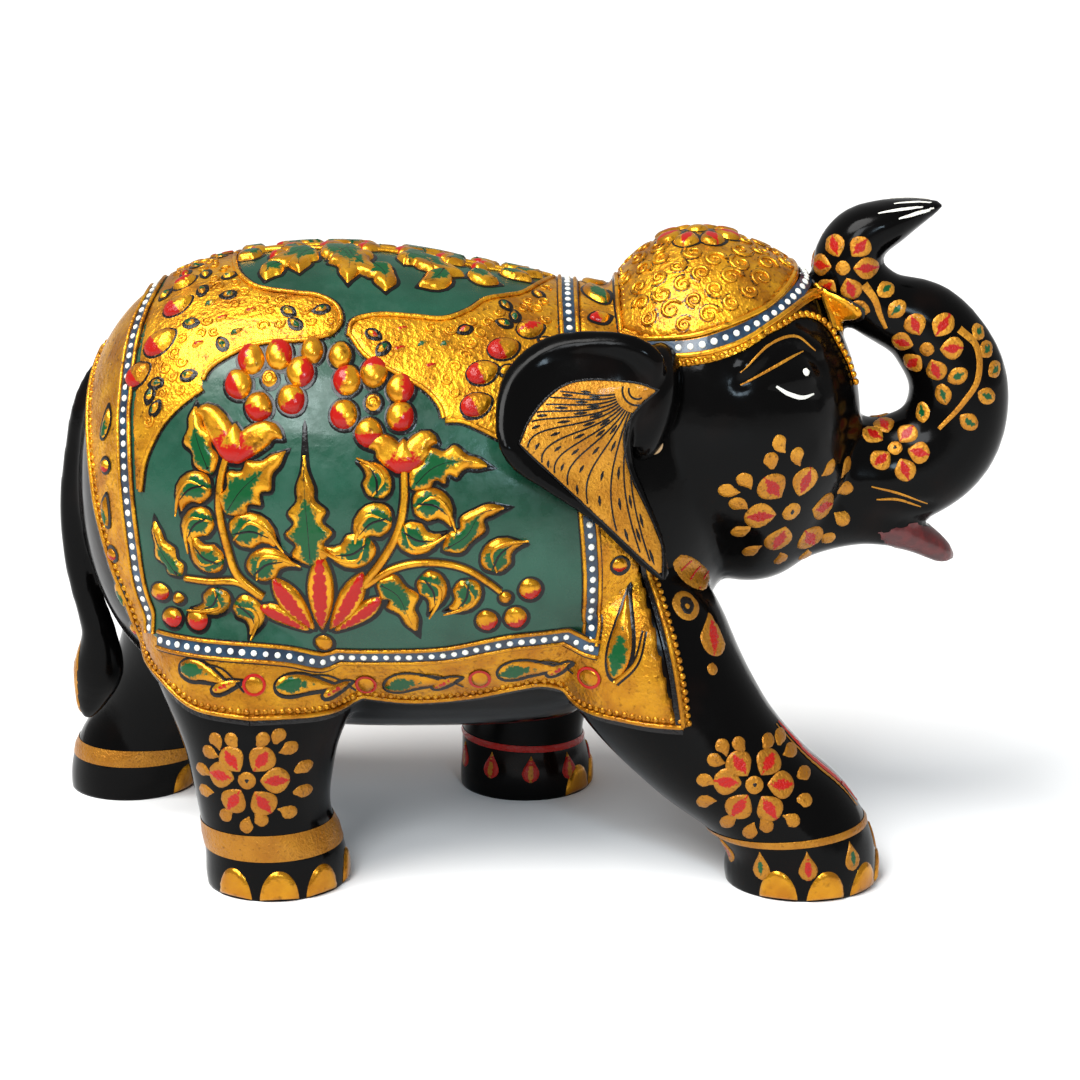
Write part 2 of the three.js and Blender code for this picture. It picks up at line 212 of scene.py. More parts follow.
def shader(name, base, roughness, metallic=0.0, coat=0.0, specular=0.5, tint=(1, 1, 1)):
    """A new material with its gloss set on the shader itself."""
    made = bpy.data.materials.new(name)
    made.use_nodes = True
    bsdf = made.node_tree.nodes["Principled BSDF"]
    bsdf.inputs["Base Color"].default_value = (*base, 1)
    bsdf.inputs["Roughness"].default_value = roughness
    bsdf.inputs["Metallic"].default_value = metallic
    bsdf.inputs["Coat Weight"].default_value = coat
    bsdf.inputs["Coat Roughness"].default_value = 0.08
    bsdf.inputs["Specular IOR Level"].default_value = specular
    bsdf.inputs["Specular Tint"].default_value = (*tint, 1)
    return made, made.node_tree.nodes, made.node_tree.links, bsdf


def speckle(nodes, links, scale, detail=3.0):
    """A noise over the piece's own place, in metres."""
    where = nodes.new("ShaderNodeTexCoord")
    cloud = nodes.new("ShaderNodeTexNoise")
    cloud.inputs["Scale"].default_value = scale
    cloud.inputs["Detail"].default_value = detail
    links.new(where.outputs["Object"], cloud.inputs["Vector"])
    return cloud.outputs["Fac"]


def between(nodes, links, value, low, high, start, end):
    """A value stretched from low..high to start..end."""
    span = nodes.new("ShaderNodeMapRange")
    span.interpolation_type = "SMOOTHSTEP"
    for socket, number in zip(("From Min", "From Max", "To Min", "To Max"), (low, high, start, end)):
        span.inputs[socket].default_value = number
    links.new(value, span.inputs["Value"])
    return span.outputs["Result"]


def blended(nodes, links, share, one, other):
    """Two colours, or a colour over a socket, mixed by a share."""
    mix = nodes.new("ShaderNodeMix")
    mix.data_type = "RGBA"
    links.new(share, mix.inputs["Factor"])
    for socket, colour in (("A", one), ("B", other)):
        entry = next(i for i in mix.inputs if i.name == socket and i.type == "RGBA")
        if isinstance(colour, tuple):
            entry.default_value = (*colour, 1)
        else:
            links.new(colour, entry)
    return next(o for o in mix.outputs if o.type == "RGBA")


def uneven(nodes, links, bsdf, scale, strength, depth):
    """Small unevenness of the surface, depth in metres."""
    bump = nodes.new("ShaderNodeBump")
    bump.inputs["Strength"].default_value = strength
    bump.inputs["Distance"].default_value = depth
    links.new(speckle(nodes, links, scale), bump.inputs["Height"])
    links.new(bump.outputs["Normal"], bsdf.inputs["Normal"])
    return bump


def black_lacquer():
    """Glossy black over wood, browner in random patches."""
    made, nodes, links, bsdf = shader("black_lacquer", (0.0016, 0.0013, 0.0012), 0.16, specular=0.085)
    browner_patches = between(nodes, links, speckle(nodes, links, 34), 0.55, 0.8, 0, 1)
    links.new(blended(nodes, links, browner_patches, (0.0012, 0.0011, 0.0011), (0.006, 0.0026, 0.0018)),
              bsdf.inputs["Base Color"])
    gloss = between(nodes, links, speckle(nodes, links, 110), 0.3, 0.75, 0.1, 0.22)
    links.new(gloss, bsdf.inputs["Roughness"])
    uneven(nodes, links, bsdf, 160, 0.12, 0.0006)
    return made


LACQUER = black_lacquer()


def finish_piece(obj, material, slot, *nodes):
    """A finished piece in its material, riding on the carved block."""
    obj.data.materials.clear()
    obj.data.materials.append(material)
    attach(obj, "root")
    if nodes:
        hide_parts(*nodes)
    return obj


# The cloth is a layer of gesso over the back, the flanks and the thighs, painted gold. It takes its
# form from the wood under it, and its edge is hidden by the piped hem.
CLOTH_EDGE = [
    (-121, 200), (-124, 158), (-126.6, 145), (-125.2, 131), (-124, 122), (-122.6, 113), (-120.4, 104),
    (-117.8, 94.7), (-114.7, 86), (-110.3, 72), (-103.1, 64.1), (-94, 58), (-78, 56),
    (-54, 56), (-31, 56.5), (-14, 58), (0, 61), (7, 62.5), (17, 57), (33, 54), (49, 52), (45, 65),
    (41, 82), (36, 100), (28, 114), (23.5, 126), (19, 166), (19, 200)]
CLOTH = 1.3  # its face above the wood
RIM_SMOOTHINGS = 3
OPEN_HALF, OPEN_BELOW = 28, 104  # it meets neither under the chest nor under the tail
# the stepped-back thigh on the left is covered round its back as well
THIGH_X, THIGH_Y, THIGH_LOW, THIGH_HIGH = -103, 37, 69.5, 85


def depth_inside(points, edge):
    """How far points are inside a closed outline, and below 0 outside it."""
    edge = np.array(edge, float)
    a, b = edge, np.roll(edge, -1, axis=0)
    far = near_line(points, np.vstack([edge, edge[:1]]))
    x, y = points[:, :1], points[:, 1:2]
    crosses = (a[:, 1] > y) != (b[:, 1] > y)
    climb = np.where(b[:, 1] == a[:, 1], 1e-9, b[:, 1] - a[:, 1])
    at = a[:, 0] + (y - a[:, 1]) * (b[:, 0] - a[:, 0]) / climb
    inside = (crosses & (x < at)).sum(1) % 2 == 1
    return np.where(inside, far, -far)


def layer(name, keep, lift, edge_lift):
    """A copy of the wood's skin where keep says, raised, its rim turned down to the wood."""
    bm = bmesh.new()
    bm.from_mesh(wood.data)
    middles = np.array([f.calc_center_median() for f in bm.faces])
    kept = keep(middles)
    bmesh.ops.delete(bm, geom=[f for f, k in zip(bm.faces[:], kept) if not k], context="FACES")
    for _ in range(RIM_SMOOTHINGS):
        rim = [v for v in bm.verts if v.is_boundary]
        bmesh.ops.smooth_vert(bm, verts=rim, factor=0.5,
                              use_axis_x=True, use_axis_y=True, use_axis_z=True)
    ups = [v.normal.copy() for v in bm.verts]
    for v, up in zip(bm.verts, ups):
        v.co += up * (edge_lift if v.is_boundary else lift)
    mesh = bpy.data.meshes.new(name)
    bm.to_mesh(mesh)
    bm.free()
    mesh.shade_smooth()
    wash = mesh.attributes.new("wash", "FLOAT_COLOR", "POINT")
    wash.data.foreach_set("color", np.zeros(4 * len(mesh.vertices), np.float32))
    made = bpy.data.objects.new(name, mesh)
    bpy.context.scene.collection.objects.link(made)
    return made


def moved(outline):
    """An outline in x and z, from the barrel's middle to the frame's origin."""
    return np.array(outline, float) + np.array((MIDDLE[0], MIDDLE[2]))


def on_cloth(middles):
    shown = depth_inside(middles[:, (0, 2)], moved(CLOTH_EDGE)) > 0
    covered = shown & ~((np.abs(middles[:, 1]) < OPEN_HALF) & (middles[:, 2] < OPEN_BELOW))
    x, y, z = middles.T
    return covered | ((y > THIGH_Y) & (x < THIGH_X) & (z > THIGH_LOW) & (z < THIGH_HIGH))


# The colours brushed over the gold, by the channel of the wash attribute that says where.
WASH_COLOURS = {
    "Red": (0.34, 0.006, 0.003), "Green": (0.002, 0.062, 0.016), "Blue": (0.004, 0.003, 0.003),
    "Alpha": (0.82, 0.80, 0.72),
}
PAINTED_HOLLOW_SHADE, PAINTED_LOW_SHADE = 0.22, 0.6  # how dark painted shade makes the gold in speckled hollows, and low down
LOW_SHADE_HEIGHTS = (0.05, 0.15)  # the painted shade low down is darkest below the first height in metres, and none above the second
WASH_GAIN, PAINT_ROUGHNESS = 1.56, 0.2


def painted_gesso(name, bright, dull, roughness, metallic, grain, relief=0.8):
    """Gold paint over gesso under varnish, washed with the colours that the wash attribute holds, with
    painted shade in speckled hollows and low down.
    """
    made, nodes, links, bsdf = shader(name, bright, roughness, metallic, coat=0.12, specular=0.22)
    cloudy = between(nodes, links, speckle(nodes, links, 120, 5), 0.32, 0.68, 0, 1)
    # painted shade: speckled patches darkened towards black stand in for the shade in the gesso's hollows
    painted_relief_shade = between(nodes, links, speckle(nodes, links, grain, 4), 0.56, 0.74, 0, 0.8)
    colour = blended(nodes, links, painted_relief_shade, blended(nodes, links, cloudy, dull, bright),
                     tuple(c * PAINTED_HOLLOW_SHADE for c in dull))
    place = nodes.new("ShaderNodeTexCoord")
    height = nodes.new("ShaderNodeSeparateXYZ")
    links.new(place.outputs["Object"], height.inputs["Vector"])
    # painted shade: the gold is darker low down, where less of the light from above falls
    low_shade = between(nodes, links, height.outputs["Z"], *LOW_SHADE_HEIGHTS, 0.55, 0)
    colour = blended(nodes, links, low_shade, colour, tuple(c * PAINTED_LOW_SHADE for c in dull))
    wash = nodes.new("ShaderNodeAttribute")
    wash.attribute_name = "wash"
    parts = nodes.new("ShaderNodeSeparateColor")
    links.new(wash.outputs["Color"], parts.inputs["Color"])
    brush = between(nodes, links, speckle(nodes, links, 1300, 3), 0.2, 0.8, -0.3, 0.3)
    covered = None
    for socket, paint in WASH_COLOURS.items():
        source = wash.outputs["Alpha"] if socket == "Alpha" else parts.outputs[socket]
        rough = nodes.new("ShaderNodeMath")
        rough.operation = "MULTIPLY_ADD"
        links.new(source, rough.inputs[0])
        rough.inputs[1].default_value = WASH_GAIN
        links.new(brush, rough.inputs[2])
        share = between(nodes, links, rough.outputs["Value"], 0.35, 0.8, 0, 1)
        colour = blended(nodes, links, share, colour, paint)
        if covered is None:
            covered = share
        else:
            most = nodes.new("ShaderNodeMath")
            most.operation = "MAXIMUM"
            links.new(covered, most.inputs[0])
            links.new(share, most.inputs[1])
            covered = most.outputs["Value"]
    links.new(colour, bsdf.inputs["Base Color"])
    links.new(between(nodes, links, covered, 0, 1, metallic, 0), bsdf.inputs["Metallic"])
    links.new(between(nodes, links, covered, 0, 1, roughness, PAINT_ROUGHNESS), bsdf.inputs["Roughness"])
    uneven(nodes, links, bsdf, grain, relief, 0.0006)
    return made


BRIGHT_GOLD = (0.80, 0.38, 0.016)
GOLD = painted_gesso("gold_on_gesso", BRIGHT_GOLD, (0.44, 0.16, 0.007), 0.32, 0.75, 750)
PIPED_GOLD = painted_gesso("piped_gold", BRIGHT_GOLD, (0.48, 0.18, 0.007), 0.26, 0.75, 420, 0.35)
BRUSHED_GOLD = painted_gesso("brushed_gold", (0.58, 0.25, 0.020), (0.40, 0.15, 0.010), 0.38, 0.55, 1100)
cloth = layer("gold_cloth", on_cloth, CLOTH, 0.1)


# Charts: each takes a place drawn flat in millimetres and gives the place on the wood and its normal.
def smooth_normal(skin, place, index):
    faces, points, normals = skin[1:]
    total = Vector((0, 0, 0))
    for corner in faces[index]:
        total += normals[corner] / ((place - points[corner]).length + 0.05)
    return total.normalized()


def nearest(place, skin=None):
    skin = skin or SKIN
    hit, _, index, _ = skin[0].find_nearest(Vector(place))
    return hit, smooth_normal(skin, hit, index)


def cast(start, way, skin=None, reach=400):
    skin = skin or SKIN
    hit, _, index, _ = skin[0].ray_cast(Vector(start), Vector(way), reach)
    if hit is None:
        return None
    return hit, smooth_normal(skin, hit, index)


OUTSIDE = 140  # well clear of the wood, to either side


def flank(side, skin=None, depth=30):
    """Drawn in x and z, laid on one side."""
    def chart(a, b):
        return cast((a, side * OUTSIDE, b), (0, -side, 0), skin) or nearest((a, side * depth, b), skin)
    return chart


AXIS, GIRTH = 108.0, 66.0  # height of the barrel's middle, and its radius


def over_back(x, s):
    """Drawn in x and the distance round the barrel, 0 on the ridge and below 0 on the right."""
    turn = s / GIRTH
    return cast((x, 0, AXIS), (0, math.sin(turn), math.cos(turn)))


HOVER = 9  # how far above the wood a flat drawing is held


def spot(place, right=(1, 0, 0), up=(0, 0, 1)):
    """Drawn flat about a place on the wood; right and up are the drawing's own."""
    at, normal = nearest(place)
    u = Vector(right)
    u = (u - normal * u.dot(normal)).normalized()
    v = normal.cross(u)
    if v.dot(Vector(up)) < 0:
        v = -v

    def chart(a, b):
        start = at + u * a + v * b
        return cast(start + normal * HOVER, -normal, reach=24) or nearest(start)

    chart.flat = lambda place: ((Vector(place) - at).dot(u), (Vector(place) - at).dot(v))
    return chart


class Gesso:
    """Gesso and paint laid down bit by bit, until it is one piece."""

    def __init__(self):
        self.points, self.faces, self.washes = [], [], []

    def add(self, points, faces, washes):
        first = len(self.points)
        self.points.extend(points)
        self.faces.extend([tuple(first + i for i in face) for face in faces])
        self.washes.extend(washes)

    def piece(self, name, material, slot, *nodes):
        mesh = bpy.data.meshes.new(name)
        mesh.from_pydata([tuple(p) for p in self.points], [], self.faces)
        bm = bmesh.new()
        bm.from_mesh(mesh)
        slivers = [f for f in bm.faces if f.calc_area() < 1e-7]
        bmesh.ops.delete(bm, geom=slivers, context="FACES")
        bm.to_mesh(mesh)
        bm.free()
        wash = mesh.attributes.new("wash", "FLOAT_COLOR", "POINT")
        wash.data.foreach_set("color", np.array(self.washes, np.float32).ravel())
        mesh.shade_smooth()
        made = bpy.data.objects.new(name, mesh)
        bpy.context.scene.collection.objects.link(made)
        return finish_piece(metres(made), material, slot, *nodes)


# The washes: how much of red, green, black and white lies over the gold.
PLAIN = (0, 0, 0, 0)
RED, GREEN, BLACK, WHITE = (1, 0, 0, 0), (0, 1, 0, 0), (0, 0, 1, 0), (0, 0, 0, 1)


def facing(points, faces, normals):
    """Faces turned to look away from the wood."""
    out = []
    for face in faces:
        a, b, c = (points[i] for i in face[:3])
        way = (b - a).cross(c - a)
        out.append(tuple(face) if way.dot(normals[face[0]]) >= 0 else tuple(reversed(face)))
    return out


def pat(gesso, chart, outline, height, rim, base, grain=0.8, washing=None):
    """A low pat of gesso inside an outline: it rises to height within rim of its edge."""
    edge = np.array(outline, float)
    low, high = edge.min(0), edge.max(0)
    across = np.arange(low[0], high[0], grain)
    rows = np.arange(low[1], high[1], grain * 0.87)
    grid = [(x + (grain / 2) * (k % 2), z) for k, z in enumerate(rows) for x in across]
    grid = np.array(grid).reshape(-1, 2)
    if len(grid):
        grid = grid[depth_inside(grid, edge) > 0.4 * grain]
    flat = np.vstack([edge, grid]) if len(grid) else edge
    loop = [(i, (i + 1) % len(edge)) for i in range(len(edge))]
    flat, _, faces, *_ = delaunay_2d_cdt([Vector(p) for p in flat], loop, [], 1, 1e-5)
    flat = np.array([tuple(p) for p in flat])
    inner = np.maximum(depth_inside(flat, edge), 0)
    inner[:len(edge)] = 0
    rise = height * np.sqrt(1 - (1 - np.minimum(inner / rim, 1)) ** 2)
    lift = np.where(inner < 1e-6, base - 0.25, base + rise)
    points, ups = [], []
    for (a, b), up in zip(flat, lift):
        hit, normal = chart(a, b)
        points.append(hit + normal * float(up))
        ups.append(normal)
    washes = [PLAIN] * len(points) if washing is None else washing(flat)
    gesso.add(points, facing(points, faces, ups), washes)


def on_chart(chart, line, closed=False):
    """A drawn line as places and normals on the wood."""
    found = [chart(a, b) for a, b in line]
    return [f[0] for f in found], [f[1] for f in found], closed


def on_wood(line, step=1.2):
    """A line through rough places, laid on the wood with even steps."""
    line = np.array(line, float)
    fine = through(line, np.linspace(0, 1, 40 * len(line)))
    gone = np.concatenate([[0], np.cumsum(np.linalg.norm(np.diff(fine, axis=0), axis=1))])
    count = max(2, int(gone[-1] / step))
    even = np.linspace(0, gone[-1], count + 1)
    even = np.stack([np.interp(even, gone, fine[:, k]) for k in range(3)], axis=1)
    found = [nearest(p) for p in even]
    return [f[0] for f in found], [f[1] for f in found], False


def sideways(track):
    """The way across a line, at each of its places."""
    places, ups, closed = track
    n = len(places)
    out = []
    for i in range(n):
        if closed or 0 < i < n - 1:
            ahead = places[(i + 1) % n] - places[i - 1]
        else:
            ahead = places[1] - places[0] if i == 0 else places[-1] - places[-2]
        out.append(ups[i].cross(ahead).normalized())
    return out


WIDE = 1.2  # a line that is wider follows the wood at its edges too


def strip(gesso, track, half, base, crown, wash=PLAIN, shift=0.0):
    """A flat painted line of that half width, a little raised in its middle."""
    places, ups, closed = track
    halves = [half] * len(places) if np.isscalar(half) else half
    points, normals = [], []
    for place, up, aside, wide in zip(places, ups, sideways(track), halves):
        for share in (-1, 0, 1):
            at = place + aside * (share * wide + shift)
            if wide > WIDE:
                at, up = nearest(at)
            points.append(at + up * (base + (crown if share == 0 else 0)))
            normals.append(up)
    n = len(places)
    faces = [(3 * i + k, 3 * i + k + 1, 3 * ((i + 1) % n) + k + 1, 3 * ((i + 1) % n) + k)
             for i in range(n if closed else n - 1) for k in (0, 1)]
    gesso.add(points, facing(points, faces, normals), [wash] * len(points))


def cord(gesso, track, radius, base, shift=0.0, sides=8):
    """A piped cord of gesso with its middle at base above the wood."""
    places, ups, closed = track
    radii = [radius] * len(places) if np.isscalar(radius) else radius
    points, normals = [], []
    for place, up, aside, thick in zip(places, ups, sideways(track), radii):
        middle = place + aside * shift + up * base
        for k in range(sides):
            turn = 2 * math.pi * k / sides
            out = aside * math.cos(turn) + up * math.sin(turn)
            points.append(middle + out * thick)
            normals.append(out)
    n = len(places)
    faces = [(sides * i + k, sides * i + (k + 1) % sides,
              sides * ((i + 1) % n) + (k + 1) % sides, sides * ((i + 1) % n) + k)
             for i in range(n if closed else n - 1) for k in range(sides)]
    if not closed:
        faces += [tuple(range(sides)), tuple(range(sides * (n - 1), sides * n))]
    gesso.add(points, facing(points, faces, normals), [PLAIN] * len(points))


pearl = bmesh.new()
bmesh.ops.create_uvsphere(pearl, u_segments=8, v_segments=5, radius=1)
PEARL = [v.co.copy() for v in pearl.verts], [tuple(v.index for v in f.verts) for f in pearl.faces]
pearl.free()


WANDER = 0.06  # how uneven a row of beads is


def beads(gesso, track, pitch, radius, base, flat=0.8, shift=0.0, seed=1):
    """A row of beads or dots, one each pitch, a little uneven."""
    places, ups, closed = track
    draw = random.Random(seed)
    run = places + places[:1] if closed else places
    gone = np.concatenate([[0], np.cumsum([(b - a).length for a, b in zip(run, run[1:])])])
    sides = sideways(track)
    for far in np.arange(pitch / 2, gone[-1], pitch):
        i = min(int(np.searchsorted(gone, far)) - 1, len(run) - 2)
        share = (far - gone[i]) / max(gone[i + 1] - gone[i], 1e-9)
        place = run[i].lerp(run[i + 1], share)
        up, aside = ups[i % len(ups)], sides[i % len(sides)]
        ahead = aside.cross(up)
        size = radius * (1 + draw.uniform(-1.6, 1.6) * WANDER)
        place = place + aside * (shift + draw.uniform(-1, 1) * WANDER) + up * base
        points = [place + aside * (p.x * size) + ahead * (p.y * size) + up * (p.z * size * flat)
                  for p in PEARL[0]]
        gesso.add(points, PEARL[1], [PLAIN] * len(points))


def vane(spine, width, fullest=0.45, ends=(0.5, 1.0), lobes=0, depth=0.35, steps=None):
    """Outline of a leaf, petal or drop along a spine from base to tip, with what says where a
    place lies along it and across it."""
    steps = steps or (10 + 6 * lobes)
    s = np.linspace(0, 1, steps)
    if lobes == 0:
        s = (1 - np.cos(np.pi * s)) / 2
    if len(spine) > 2:
        line = through(spine, s)
    else:
        line = np.array(spine[0]) + np.outer(s, np.subtract(spine[1], spine[0]))
    power = math.log(0.5) / math.log(fullest)
    ease = ends[0] + (ends[1] - ends[0]) * s
    wide = width * np.sin(np.pi * s ** power).clip(0, 1) ** ease
    if lobes:
        wide = wide * (1 - depth * (0.5 + 0.5 * np.cos(2 * np.pi * lobes * s)))
    ahead = unit(np.gradient(line, axis=0))
    aside = np.stack([-ahead[:, 1], ahead[:, 0]], axis=1)
    left, right = line + aside * wide[:, None], line - aside * wide[:, None]
    outline = np.vstack([line[:1], left[1:-1], line[-1:], right[1:-1][::-1]])

    def where(flat):
        gap = np.linalg.norm(flat[:, None] - line[None], axis=-1)
        i = gap.argmin(1)
        return s[i], gap.min(1) / np.maximum(wide[i], 0.3)
    return outline, where


def washing_of(kind, where, lean):
    """How much of each colour lies where on a leaf or petal."""
    def washing(flat):
        s, t = where(flat)
        share = {
            "leaf": 1.35 - 1.25 * t - 2.4 * np.abs(s - 0.3),
            "tip": (s - 0.40 - lean) * 2.4,
            "base": (0.58 + lean - s) * 2.6,
            "dash": 1.7 - 3.0 * t - 2.2 * np.abs(s - 0.5),
            # side: painted shade, red towards the edges of the far fore ankle's drops
            "side": (t * np.sign(s - 0.2) - 0.15) * 2.2,
            "green_dash": 1.5 - 2.9 * t - 2.6 * np.abs(s - 0.5),
            "stripe": np.minimum((0.62 - t) * 4, (s - 0.06) * 9),
            "plain": np.zeros(len(s)),
        }[kind]
        share = np.clip(share, 0, 1)
        channel = 1 if kind in ("leaf", "green_dash") else 0
        washes = np.zeros((len(s), 4))
        washes[:, channel] = share
        return [tuple(w) for w in washes]
    return washing


def all_black(flat):
    return [BLACK] * len(flat)


def outlined(gesso, chart, outline, base, half=0.72, shift=(0.0, 0.0), wash=BLACK):
    """A brushed line round an outline, a little to one side of it."""
    line = np.array(outline) + np.array(shift)
    strip(gesso, on_chart(chart, line, True), half, base + 0.1, 0.12, wash)


INK_SLIP = (0.2, -0.3)  # the black line isn't quite true to the gesso


def growth(gesso, chart, spine, width, height, base, wash, rim=None, ink=True, grain=0.8, lean=0.0,
           **form):
    """One leaf or petal with its colour and its black outline."""
    outline, where = vane(spine, width, **form)
    pat(gesso, chart, outline, height, rim or width * 0.9, base, grain, washing_of(wash, where, lean))
    if ink:
        outlined(gesso, chart, outline, base, shift=INK_SLIP)


def dome(gesso, chart, centre, radius, height, base, red=None, ink=True, grain=0.8, out=(0, -1)):
    """A round berry, red on the side that out points to."""
    out = np.array(out, float) / max(np.hypot(*out), 1e-6)
    spine = [np.array(centre) - out * radius, np.array(centre) + out * radius]
    growth(gesso, chart, spine, radius, height, base, red or "plain", rim=radius, ink=ink, grain=grain,
           fullest=0.5, ends=(0.5, 0.5), steps=11)


def stem(gesso, chart, line, thick, thin, base):
    """A piped stem that thins towards its end, with its black line beneath."""
    drawn = through(line, np.linspace(0, 1, max(6, 7 * len(line))))
    track = on_chart(chart, drawn)
    radii = list(np.linspace(thick, thin, len(drawn)))
    strip(gesso, track, [r + 0.55 for r in radii], base + 0.05, 0.1, BLACK)
    cord(gesso, track, radii, base + 0.25)


SIDES = {"right": -1, "left": 1}
flanks = {name: flank(side) for name, side in SIDES.items()}


def side_places(line, side=-1):
    """Places drawn in x and z, on the wood of one side."""
    return [tuple(flanks["right" if side < 0 else "left"](a, b)[0]) for a, b in line]


def top_places(line, side=-1):
    """Places drawn in x and y over the back, y below 0 on the right."""
    found = []
    for x, y in line:
        hit = cast((x, -side * y, 230), (0, 0, -1)) or nearest((x, -side * y, 175))
        found.append(tuple(hit[0]))
    return found


def sided(line, side):
    """Places measured on the right side, taken to either side."""
    return [(x, -side * y, z) for x, y, z in line]


# The middle of the cloth is dark green enamel, from flank to flank over the back, brushed on a second
# thin layer of gesso.
FIELD_EDGE = [
    (-106, 201), (-107.5, 172), (-110.5, 160), (-112.8, 150), (-113.3, 142), (-112.6, 121), (-111.3, 106),
    (-109.6, 90), (-107, 76), (-67, 75.2), (-54, 72), (-21, 73), (-2.6, 77.2), (21.4, 76.4), (19.8, 116),
    (14.8, 165), (14.8, 201)]
FIELD = CLOTH + 0.25


def inside_of(outline, lowest=0.0):
    """What a layer keeps: all above lowest that is inside an outline in x and z."""
    def keep(middles):
        return (depth_inside(middles[:, (0, 2)], outline) > 0) & (middles[:, 2] > lowest)
    return keep


def green_enamel():
    """Dark green enamel under varnish, brushed on unevenly."""
    made, nodes, links, bsdf = shader("green_enamel", (0.01, 0.07, 0.035), 0.3, coat=0.15, specular=0.4,
                                      tint=(0.85, 1.0, 0.95))
    cloudy = between(nodes, links, speckle(nodes, links, 42, 6), 0.3, 0.72, 0, 1)
    links.new(blended(nodes, links, cloudy, (0.0035, 0.036, 0.018), (0.010, 0.066, 0.038)),
              bsdf.inputs["Base Color"])
    gloss = between(nodes, links, speckle(nodes, links, 240), 0.35, 0.7, 0.24, 0.42)
    links.new(gloss, bsdf.inputs["Roughness"])
    uneven(nodes, links, bsdf, 330, 0.35, 0.0004)
    return made


field = layer("green_field", inside_of(FIELD_EDGE, 70), FIELD, CLOTH - 0.2)
finish_piece(metres(cloth), GOLD, "gold_paint", "saddle_cloth")
finish_piece(metres(field), green_enamel(), "green_paint")

# A dotted border frames the green: a painted navy line with white dots set down one by one with the
# end of a stick, between two piped gold cords.
FRAME_REAR_SIDE = [(-107.2, 77), (-109.6, 90), (-111.3, 106), (-112.6, 121), (-113.2, 133), (-113.5, 142),
                   (-113, 149)]
FRAME_REAR_TOP = [(-110.5, -17), (-108.6, -9), (-108, 0)]
FRAME_FRONT_SIDE = [(22, 75.8), (21.2, 96), (20, 116), (18.2, 135), (16, 152), (15.2, 160)]
FRAME_FRONT_TOP = [(14.8, -24), (14.6, -14), (14.6, 0)]
FRAME_BELOW = [
    (-107, -49, 76.6), (-90, -54, 75.6), (-67, -58, 74.4), (-54, -58, 71.6), (-38, -58, 71.4),
    (-21, -58, 72.2), (-2.5, -58, 76.2), (10, -58, 76.4), (22, -58, 75.8)]
DOT, DOT_PITCH = 0.98, 3.3
CORD_SHIFT = 2.35  # each gold cord from the middle of the navy line


def over(line):
    """A line up the right side, carried over the ridge and down the left."""
    return line + [(x, -y, z) for x, y, z in line[-2::-1]]


def enamel(name, dark, light, roughness):
    """Plain glossy enamel, a little cloudy."""
    made, nodes, links, bsdf = shader(name, dark, roughness, coat=0.4, specular=0.4)
    cloudy = between(nodes, links, speckle(nodes, links, 300, 4), 0.35, 0.7, 0, 1)
    links.new(blended(nodes, links, cloudy, dark, light), bsdf.inputs["Base Color"])
    uneven(nodes, links, bsdf, 900, 0.3, 0.0003)
    return made


NAVY = enamel("navy_enamel", (0.004, 0.012, 0.028), (0.012, 0.045, 0.09), 0.28)
IVORY = enamel("white_enamel", (0.70, 0.72, 0.66), (0.86, 0.87, 0.80), 0.3)
cords, navy, dots = Gesso(), Gesso(), Gesso()
frame_tracks = [on_wood(over(side_places(FRAME_REAR_SIDE) + top_places(FRAME_REAR_TOP))),
                on_wood(over(side_places(FRAME_FRONT_SIDE) + top_places(FRAME_FRONT_TOP)))]
frame_tracks += [on_wood(sided(FRAME_BELOW, side)) for side in (-1, 1)]
for k, track in enumerate(frame_tracks):
    strip(navy, track, 1.9, CLOTH + 0.45, 0.1)
    beads(dots, track, DOT_PITCH, DOT, CLOTH + 0.55, 0.55, seed=k)
    for shift in (-CORD_SHIFT, CORD_SHIFT):
        strip(cords, track, 0.95, CLOTH + 0.3, 0.1, BLACK, shift)
        cord(cords, track, 0.62, CLOTH + 0.5, shift=shift)

# The hem is a gold cord piped from a paint cone along the cloth's edge, with a row of small gesso
# beads outside it.
HEM = [
    (48.4, 53.4), (33, 54.6), (17, 57.4), (6.4, 62.4), (-1, 61.4), (-14, 58.4), (-32, 56.8), (-55, 56),
    (-77.6, 56.4), (-94.8, 58.6), (-103.9, 64.4), (-111.1, 72), (-115.5, 86), (-118.6, 94.7),
    (-121.2, 104), (-123.4, 113), (-124.8, 122), (-126, 131)]
HEM_REAR = [(-127.2, -18, 141), (-127.4, -9, 149), (-125.4, 0, 154.6)]
HEM_FRONT = [(24, 125), (29, 113.6), (37, 100), (42, 84), (45.6, 70), (48.4, 53.4)]

HEM_STEP = 1.1
OUTWARD = (-1, -1, 1, 1, -1)  # which side of each stretch of hem the beads are on

rear_hem = over(side_places(HEM[8:]) + HEM_REAR)
hems = [on_wood(rear_hem, HEM_STEP)]
hems += [on_wood(side_places(HEM[:9], side), HEM_STEP) for side in (-1, 1)]
hems += [on_wood(side_places(HEM_FRONT, side), HEM_STEP) for side in (-1, 1)]
hem_beads = Gesso()
for k, (track, flip) in enumerate(zip(hems, OUTWARD)):
    beads(hem_beads, track, 2.3, 1.05, 0.9, 0.95, shift=flip * 1.7, seed=20 + k)
    strip(cords, track, 1.2, CLOTH - 0.5, 0.3, PLAIN, flip * 0.6)
    strip(cords, track, 0.85, CLOTH + 0.15, 0.1, BLACK, flip * -1.3)
    cord(cords, track, 0.75, CLOTH + 0.15)
hem_beads.piece("hem_beads", GOLD, "gold_paint", "saddle_bead_edging_right_1",
                "saddle_bead_edging_left_1", "saddle_bead_edging_left_2")
cords.piece("piped_cords", GOLD, "gold_paint")
navy.piece("navy_border", NAVY, "navy_paint", "saddle_border")
dots.piece("white_dots", IVORY, "white_paint")

